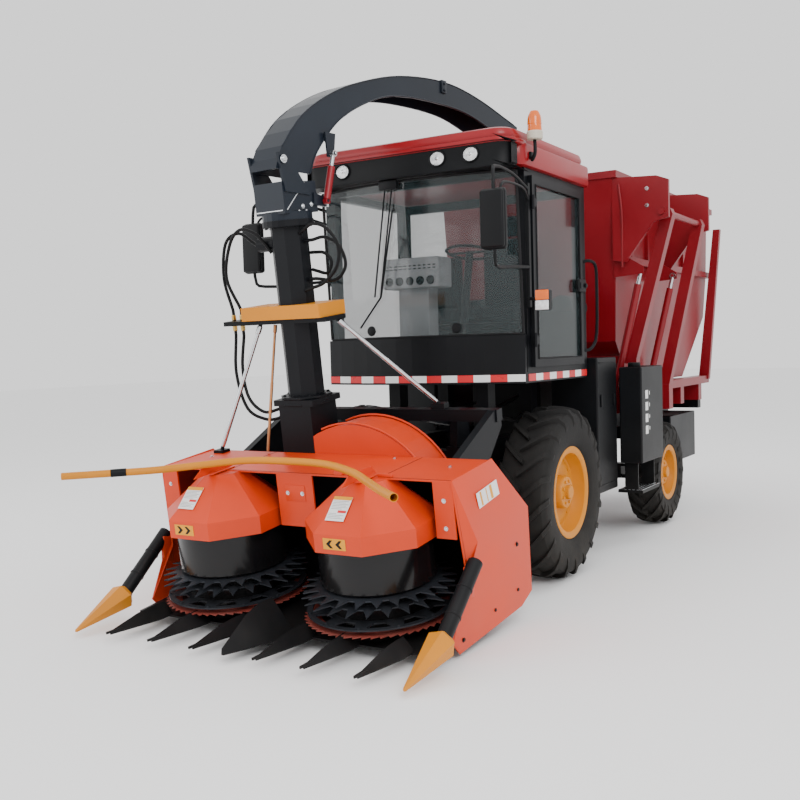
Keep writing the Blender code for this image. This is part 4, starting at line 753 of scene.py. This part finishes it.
braces = [sleeve(h(-0.63, 0.635, 1.705), h(-0.95, 0.44, 0.849), 0.0142),
          sleeve(h(-0.07, 0.715, 1.705), h(0.42, 1.13, 1.05), 0.0142)]
piece("silver_braces", braces, "header", SILVER)
piece("copper_link", [sleeve(h(-0.50, 0.62, 1.69), h(-0.56, 0.46, 0.84), 0.009, 0.006)], "header", COPPER)
unions = []
for x in (0.52, 0.45):
    for lo, hi in ((1.655, 1.692), (1.728, 1.765)):
        unions.append(lathe([(0, lo), (0.015, lo), (0.017, lo + 0.004), (0.017, hi - 0.004), (0.015, hi),
                             (0, hi)], 6, HEADER @ move((TOWER.x - x, TOWER.y - 0.04, 0))))
piece("hose_unions", unions, "header", BRASS, 20)

# ================================================================ cab: roof, lamps and trim
def rounded(x, y0, y1, corner, steps=7):
    """A rectangle in plan with round corners."""
    out = []
    for cx, cy, start in ((x - corner, y1 - corner, 0), (corner - x, y1 - corner, 90),
                          (corner - x, y0 + corner, 180), (x - corner, y0 + corner, 270)):
        out += [(cx + corner * cos(radians(start + 90 * k / steps)),
                 cy + FRONT + corner * sin(radians(start + 90 * k / steps))) for k in range(steps + 1)]
    return out


def slab(x, y0, y1, z0, z1, corner, edge):
    """A level slab with round corners in plan and rolled edges."""
    return plate([rounded(x, y0, y1, corner)], z1 - z0, move((0, 0, (z0 + z1) / 2)), edge)


top = slab(0.845, -0.665, 0.80, 3.094, 3.20, 0.15, 0.045)
skirt = slab(0.87, -0.50, 0.82, 2.952, 3.112, 0.08, 0.02)
brow = slab(0.865, -0.685, -0.30, 3.088, 3.128, 0.15, 0.015)
piece("roof_shell", [top, skirt, brow], "chassis", ROOF_RED, 35, ["cab_roof"])
visor = slab(0.85, -0.67, -0.505, 2.93, 3.099, 0.13, 0.02)
piece("roof_visor", [visor], "chassis", PLASTIC, 35, ["roof_fascia"])
rings, glasses, bulbs = [], [], []
for x in (0.30, 0.56, -0.50):
    front = move(at(x, -0.668, 3.030)) @ rotate(QUARTER, "X") @ Matrix.Scale(1.2, 4, (1, 0, 0))
    rings.append(lathe([(0.034, 0), (0.055, 0), (0.058, 0.004), (0.056, 0.012), (0.050, 0.014),
                        (0.045, 0.006), (0.034, 0.002)], 32, front))
    glasses.append(lathe([(0, 0.013), (0.025, 0.0115), (0.046, 0.006), (0.046, 0.002), (0, 0.002)], 32,
                         front))
    bulbs.append(lathe([(0, 0.018), (0.008, 0.017), (0.012, 0.013), (0, 0.013)], 20, front))
piece("roof_lamp_rings", rings, "chassis", PLASTIC)
piece("roof_lamp_lenses", glasses, "chassis", CLEAR)
piece("roof_lamp_bulbs", bulbs, "chassis", SILVER)

seat_at = move(at(0.93, -0.42, 3.12))
piece("beacon_base", [lathe([(0, 0), (0.050, 0), (0.055, 0.006), (0.055, 0.050), (0.051, 0.056),
                             (0, 0.056)], 36, seat_at)], "chassis", BEIGE)
piece("beacon_lens", [lathe([(0, 0.0565), (0.048, 0.0565), (0.0495, 0.062), (0.0475, 0.10), (0.0495, 0.103),
                             (0.0465, 0.145), (0.042, 0.165), (0.028, 0.192), (0, 0.20)], 40, seat_at)],
                             "chassis", AMBER)
post = tube(curve_through([at(0.885, -0.36, 3.02), at(0.90, -0.40, 2.99), at(0.93, -0.42, 3.03),
                           at(0.93, -0.42, 3.13)], 6), 0.012)
piece("beacon_post", [post, block(at(0.8705, -0.39, 3.00), at(0.889, -0.33, 3.05), 0.003)], "chassis",
      PLASTIC, 40, ["beacon"])

CAB = 0.83  # half the cab's width
CORNER_Y, BULGE = -0.402, 0.15
FRONT_STRIPES, SIDE_STRIPES = 14, 9
SIDE_Y, SIDE_RUN = -0.38, 1.13  # where the strip starts along the side, and its length


def bow(x, reach=0.0):
    """The line of the cab's bowed front in plan; reach moves it forward."""
    return CORNER_Y - BULGE * (1 - (x / CAB) ** 2) - reach


for colour, odd in ((RED_FILM, 0), (WHITE, 1)):
    runs = []
    for k in range(FRONT_STRIPES):
        if k % 2 != odd:
            continue
        xs = [-CAB + 2 * CAB * (k + j / 4) / FRONT_STRIPES for j in range(5)]
        runs.append(plate([[(x, bow(x, 0.0305) + FRONT) for x in xs]
                           + [(x, bow(x, 0.0325) + FRONT) for x in xs[::-1]]], 0.050, move((0, 0, 1.488))))
    for k in range(SIDE_STRIPES):
        if k % 2 == odd:
            a = SIDE_Y + SIDE_RUN * k / SIDE_STRIPES
            runs.append(block(at(CAB + 0.0002, a, 1.463),
                              at(CAB + 0.002, a + SIDE_RUN / SIDE_STRIPES, 1.513), 0))
            runs.append(block(at(-CAB - 0.002, a, 1.463),
                              at(-CAB - 0.0002, a + SIDE_RUN / SIDE_STRIPES, 1.513), 0))
    piece("floor_strip_red" if odd == 0 else "floor_strip_white", runs, "chassis", colour, 20)


SCREEN_FOOT, SCREEN_HIGH, SCREEN_LEAN = 1.79, 1.16, 0.075


def on_screen(x, z, off=0.0):
    """A point on the windscreen's outer face."""
    return at(x, bow(x, 0.008 + off) - SCREEN_LEAN * (z - SCREEN_FOOT) / SCREEN_HIGH, z)


arms = []
for x_top, x_low in ((-0.085, -0.245), (-0.145, -0.30)):
    arms.append(tube([on_screen(x_top, 2.90, 0.020), on_screen(x_low, 2.10, 0.028)], 0.006))
arms.append(tube([on_screen(-0.10, 2.72, 0.014), on_screen(-0.245, 2.10, 0.022),
                  on_screen(-0.47, 1.88, 0.014)], 0.007))
arms.append(block(at(-0.19, bow(-0.1, 0.05) - 0.075, 2.86), at(-0.04, bow(-0.1, 0.008) - 0.073, 2.925),
                  0.008))
for x in (-0.37, 0.35):
    arms.append(lathe([(0, 0), (0.036, 0), (0.038, 0.004), (0.030, 0.014), (0.012, 0.018), (0, 0.018)], 28,
                      move(on_screen(x, 1.852, 0.0)) @ rotate(QUARTER, "X")))
piece("wiper_arms", arms, "chassis", PLASTIC)
gasket = []
for zed in (1.797, 2.918):
    gasket.append(tube([on_screen(x / 100, zed, 0.001) for x in range(-81, 82, 9)], 0.009, resolution=2))
for x in (-0.815, 0.815):
    gasket.append(tube([on_screen(x, zed, 0.001) for zed in (1.797, 2.36, 2.918)], 0.011, resolution=2))
piece("windscreen_seal", gasket, "chassis", SEAL)

# mirrors
for side, knots, box in (("left",
                          ((0.85, -0.372, 2.72), (0.93, -0.64, 2.765), (0.975, -1.00, 2.755),
                           (0.985, -1.10, 2.71), (0.985, -1.115, 2.60)),
                           ((0.865, -1.16, 2.32), (1.035, -1.10, 2.70))),
                           ("right", ((-0.85, -0.372, 2.70), (-0.99, -0.58, 2.76), (-1.16, -0.78, 2.75),
                                      (-1.20, -0.845, 2.66)),
                                      ((-1.30, -0.88, 2.32), (-1.13, -0.82, 2.70)))):
    extra = [tube(curve_through([at(*k) for k in knots], 6), 0.009)]
    lo, hi = at(*box[0]), at(*box[1])
    extra.append(block(lo + Vector((0.004, -0.016, 0.01)), (hi.x - 0.004, lo.y + 0.02, hi.z - 0.01), 0.016,
                       segments=4))
    extra.append(block((lo.x + 0.06, lo.y + 0.02, 2.44), (lo.x + 0.11, hi.y + 0.006, 2.58), 0.006))
    piece(f"{side}_mirror_shell", extra, "chassis", PLASTIC, 40)
    piece(f"{side}_mirror_glass",
          [block((lo.x + 0.014, hi.y - 0.004, lo.z + 0.014), (hi.x - 0.014, hi.y + 0.0025, hi.z - 0.014),
                 0.002)], "chassis", SILVER)
piece("turn_lens_amber", [block(at(0.952, -0.5255, 2.020), at(1.048, -0.510, 2.088), 0.006, segments=4)],
      "chassis", AMBER)
piece("turn_lens_clear", [block(at(0.952, -0.5255, 1.952), at(1.048, -0.510, 2.018), 0.006, segments=4)],
      "chassis", CLEAR)

# door: lock, hinges and seal
lock = [block(at(0.8635, 0.47, 2.115), at(0.892, 0.615, 2.215), 0.010, segments=4),
        lathe([(0, 0), (0.018, 0), (0.018, 0.012), (0.010, 0.016), (0, 0.016)], 24,
              move(at(0.9008, 0.565, 2.165)) @ ACROSS)]
piece("door_lock", lock, "cab_door", PLASTIC)
hinge = [bolt(move(at(0.8630, -0.295, zed)) @ ACROSS, 0.008) for zed in (1.735, 1.765, 2.695, 2.725)]
piece("door_bolts", hinge, "cab_door", SILVER)
seal = tube([at(0.864, y, zed)
             for y, zed in ((-0.27, 1.62), (0.56, 1.62), (0.56, 2.84), (-0.27, 2.84), (-0.27, 1.62))],
             0.006)
piece("door_seal", [seal], "cab_door", SEAL)

# inside the cab
for name, x, w, hi in (("driver_seat", 0.24, 0.46, 2.58), ("passenger_seat", -0.38, 0.40, 2.46)):
    cushion = block(at(x - w / 2, 0.20, 1.93), at(x + w / 2, 0.60, 2.03), 0.035, segments=4)
    piece(f"{name}_cushion", [cushion], "chassis", CLOTH, 50, [name])
    back = block(at(x - w / 2 + 0.02, 0.54, 2.035), at(x + w / 2 - 0.02, 0.66, hi), 0.04, segments=4)
    piece(f"{name}_back", [back], "chassis", CLOTH, 50)
    base = [block(at(x - w / 2 + 0.02, 0.21, 1.90), at(x + w / 2 - 0.02, 0.59, 1.929), 0.008),
            block(at(x - 0.15, 0.28, 1.528), at(x + 0.15, 0.56, 1.60), 0.01)]
    base += [block(at(x - 0.13, 0.30, z0), at(x + 0.13, 0.54, z0 + 0.045), 0.012)
             for z0 in (1.605, 1.655, 1.705, 1.755, 1.805, 1.853)]
    piece(f"{name}_base", base, "chassis", PLASTIC)
    if name == "driver_seat":
        piece("driver_headrest",
              [block(at(x - 0.12, 0.56, 2.60), at(x + 0.12, 0.65, 2.76), 0.03, segments=4)], "chassis",
              CLOTH, 50)
slots = [block(at(-0.385 + 0.042 * k, -0.3035, lo), at(-0.362 + 0.042 * k, -0.2985, hi), 0)
         for lo, hi in ((2.335, 2.343), (2.312, 2.320)) for k in range(11)]
vents = [lathe([(0.012, 0), (0.030, 0), (0.033, 0.004), (0.031, 0.010), (0.026, 0.011), (0.020, 0.004),
                (0.012, 0.003)], 28, move(at(-0.345 + 0.090 * k, -0.3003, 2.225)) @ rotate(QUARTER, "X"))
                for k in range(5)]
vents += [lathe([(0, 0.001), (0.024, 0.001), (0.024, 0.003), (0, 0.006)], 20,
                move(at(-0.345 + 0.090 * k, -0.3003, 2.225)) @ rotate(QUARTER, "X")) for k in range(5)]
piece("air_unit_vents", vents + slots, "chassis", PLASTIC)

# ================================================================ spout
def swept(t, z, n=0.0):
    """A point in the spout's own plane: along it, up, and across it."""
    return SPOUT @ Vector((n, t, z))


OUTER = [(-0.13, 3.02), (0.06, 3.244), (0.32, 3.42), (0.625, 3.557), (1.09, 3.693), (1.63, 3.755),
         (2.09, 3.715), (2.64, 3.589)]
INNER = [(0.12, 2.87), (0.20, 3.03), (0.42, 3.262), (0.73, 3.437), (1.03, 3.534), (1.45, 3.572),
         (1.89, 3.568), (2.24, 3.502), (2.64, 3.40)]
seams = []
for n in (-0.1205, 0.1205):
    seams.append(tube([swept(p.x, p.y - 0.004, n) for p in curve_through([(t, z, 0) for t, z in OUTER], 5)],
                      0.0045, resolution=2))
    seams.append(tube([swept(p.x, p.y + 0.004, n) for p in curve_through([(t, z, 0) for t, z in INNER], 5)],
                      0.0055, resolution=2))
piece("spout_seams", seams, "spout", SLATE, 40)
roof = curve_through([(t, z, 0) for t, z in OUTER[1:]], 5)
bpy.ops.mesh.primitive_grid_add(x_subdivisions=2, y_subdivisions=len(roof) - 1, size=1)
lining = put(bpy.context.object)
for v in lining.data.vertices:
    k = round((v.co.y + 0.5) * (len(roof) - 1))
    spot, side = roof[k], round(v.co.x * 2)
    v.co = swept(spot.x + 0.010, spot.y - 0.0155, side * 0.108)
thicken(lining, 0.002, 0)
outward()
piece("spout_lining", [lining], "spout", LINER_RED, 60)
clamp = [block((-0.1235, 1.60, 3.7385), (0.1235, 1.66, 3.7610), 0.003, SPOUT)]
clamp += [block((a, 1.60, 3.665), (b, 1.66, 3.7610), 0.003, SPOUT)
          for a, b in ((0.1215, 0.1345), (-0.1345, -0.1215))]
clamp += [bolt(SPOUT @ move((0.1345, 1.63, zed)) @ ACROSS, 0.009) for zed in (3.685, 3.735)]
piece("spout_clamp", clamp, "spout", SLATE)
pins = [bolt(SPOUT @ move((0.151, -0.15, 2.93)) @ ACROSS, 0.018),
        bolt(SPOUT @ move((0.1865, 0.30, 3.02)) @ ACROSS, 0.009, False)]
piece("spout_pin_heads", pins, "spout", SILVER)
HEAD = HEADER @ move((TOWER.x, TOWER.y, 0)) @ rotate(-YAW, "Z")
wedge = [tube([HEAD @ Vector((0.132, -0.13, 2.42)), HEAD @ Vector((0.132, 0.05, 2.59))], 0.005),
         tube([HEAD @ Vector((0.12, -0.152, 2.42)), HEAD @ Vector((-0.12, -0.152, 2.42))], 0.005)]
wedge += [bolt(HEAD @ move((0.1302, t, zed)) @ ACROSS, 0.010)
          for t, zed in ((0.10, 2.45), (0.02, 2.44), (-0.10, 2.56))]
wedge += [bolt(HEAD @ move((0.149 * sin(k), 0.149 * cos(k), 2.4103)), 0.007)
          for k in (1.35, 1.8, 4.5, 4.95)]
piece("swivel_trim", wedge, "spout_head", SILVER)

# ================================================================ bin, tanks and chassis trim
heads = [bolt(move(at(1.12, y, zed)) @ (rotate(turned, "X")), 0.012)
         for y, turned in ((1.4595, QUARTER), (2.8005, -QUARTER)) for zed in (2.86, 3.00)]
piece("bin_bracket_bolts", heads, "bin", SILVER)
pipes = [tube(curve_through([at(0.895, 1.47, 2.36), at(0.905, 1.45, 2.80), at(0.88, 1.45, 3.06)], 5),
              0.009)]
piece("bin_pipe", pipes, "bin", CRIMSON)
latch = [block(at(0.9003, 0.86, 1.20), at(0.912, 0.90, 1.30), 0.003),
         block(at(0.9003, 1.16, 1.20), at(0.912, 1.20, 1.30), 0.003)]
latch += [block(at(0.9003, 0.83, zed), at(0.906, 1.23, zed + 0.008), 0.002) for zed in (0.56, 1.555)]
piece("side_tank_trim", latch, "chassis", TANK)
marks = [block(at(1.1003, y0, z0 - 0.10 * k), at(1.1012, y1, z1 - 0.10 * k), 0)
         for y0, z0, y1, z1 in ((1.40, 1.24, 1.47, 1.31), (1.50, 1.27, 1.515, 1.30)) for k in range(4)]
piece("tank_marks", marks, "chassis", WHITE)
cap = [lathe([(0, 0), (0.050, 0), (0.052, 0.004), (0.052, 0.030), (0.046, 0.036), (0, 0.036)], 32,
             move(at(1.0, 1.42, 1.5103)))]
piece("fuel_cap", cap, "chassis", PLASTIC)
treads = [block(at(0.92 + 0.035 * k, 1.36, 0.4655), at(0.935 + 0.035 * k, 1.84, 0.471), 0.001)
          for k in range(5)]
piece("step_treads", treads, "chassis", SILVER)
runs = []
for k, (x, z0) in enumerate(((0.20, 1.16), (0.26, 1.19), (-0.16, 1.17), (0.48, 1.12))):
    runs.append(tube(curve_through([at(x, -0.62 + 0.03 * k, z0), at(x + 0.05, -0.20, z0 + 0.06),
                                    at(x - 0.08, 0.30, z0 + 0.02), at(x * 0.6, 0.90, z0 + 0.10)], 6),
                                    0.013))
piece("engine_lines", runs, "chassis", HOSE)
grille = [block(at(-0.60, 0.8593 - 0.012, 1.66 + 0.035 * k), at(0.28, 0.8593, 1.672 + 0.035 * k), 0.002)
          for k in range(13)]
piece("radiator_grille", grille, "chassis", PLASTIC)

hoses = {
    "slew_hose": [(-0.52, -0.04, 1.7653), (-0.52, -0.04, 1.795), (-0.55, -0.06, 2.02), (-0.50, -0.06, 2.25),
                  (-0.40, -0.03, 2.31), (-0.31, 0.0, 2.24), (-0.28, 0.0, 2.22), (-0.2503, 0.0, 2.22)],
    "header_hose": [(-0.52, -0.04, 1.6547), (-0.52, -0.04, 1.625), (-0.54, -0.06, 1.36),
                    (-0.46, -0.08, 1.12), (-0.32, -0.06, 1.04), (-0.20, -0.04, 1.05),
                    (-0.1703, -0.04, 1.05)],
    "valve_hose": [(0.1503, 0.0, 2.22), (0.18, 0.0, 2.22), (0.28, 0.0, 2.23), (0.37, 0.02, 2.17),
                   (0.40, 0.03, 2.04), (0.32, 0.02, 1.955), (0.18, 0.0, 1.97), (0.1503, 0.0, 1.97)],
    "return_line": [(-0.45, -0.04, 1.7653), (-0.45, -0.04, 1.80), (-0.50, -0.09, 2.02),
                    (-0.43, -0.10, 2.24), (-0.33, -0.10, 2.33), (-0.22, -0.09, 2.30), (-0.16, -0.06, 2.22),
                    (-0.1303, -0.04, 2.16)],
    "return_drop": [(-0.45, -0.04, 1.6547), (-0.45, -0.04, 1.62), (-0.47, -0.07, 1.40),
                    (-0.42, -0.10, 1.20), (-0.30, -0.10, 1.10), (-0.17, -0.08, 1.12),
                    (-0.1303, -0.08, 1.12)],
    "head_line": [(0.1203, -0.05, 2.27), (0.15, -0.06, 2.28), (0.26, -0.09, 2.32), (0.36, -0.08, 2.28),
                  (0.42, -0.06, 2.16), (0.38, -0.05, 2.03), (0.27, -0.05, 1.94), (0.16, -0.05, 1.91),
                  (0.1203, -0.05, 1.90)],
    "drain_line": [(0.1203, 0.05, 2.14), (0.15, 0.05, 2.14), (0.23, 0.05, 2.13), (0.28, 0.05, 2.07),
                   (0.24, 0.05, 2.00), (0.15, 0.05, 2.02), (0.1203, 0.05, 2.03)],
}
for name, knots in hoses.items():
    knots = [h(TOWER.x + x, TOWER.y + a, b) for x, a, b in knots]
    route = knots[:1] + curve_through(knots[1:-1], 6) + knots[-1:]
    length = sum((b - a).length for a, b in zip(route, route[1:]))
    hose = piece(f"{name}_rubber", [tube(route, 0.011)], "header", HOSE, 40, [name]
                 if name.endswith("hose") else [])
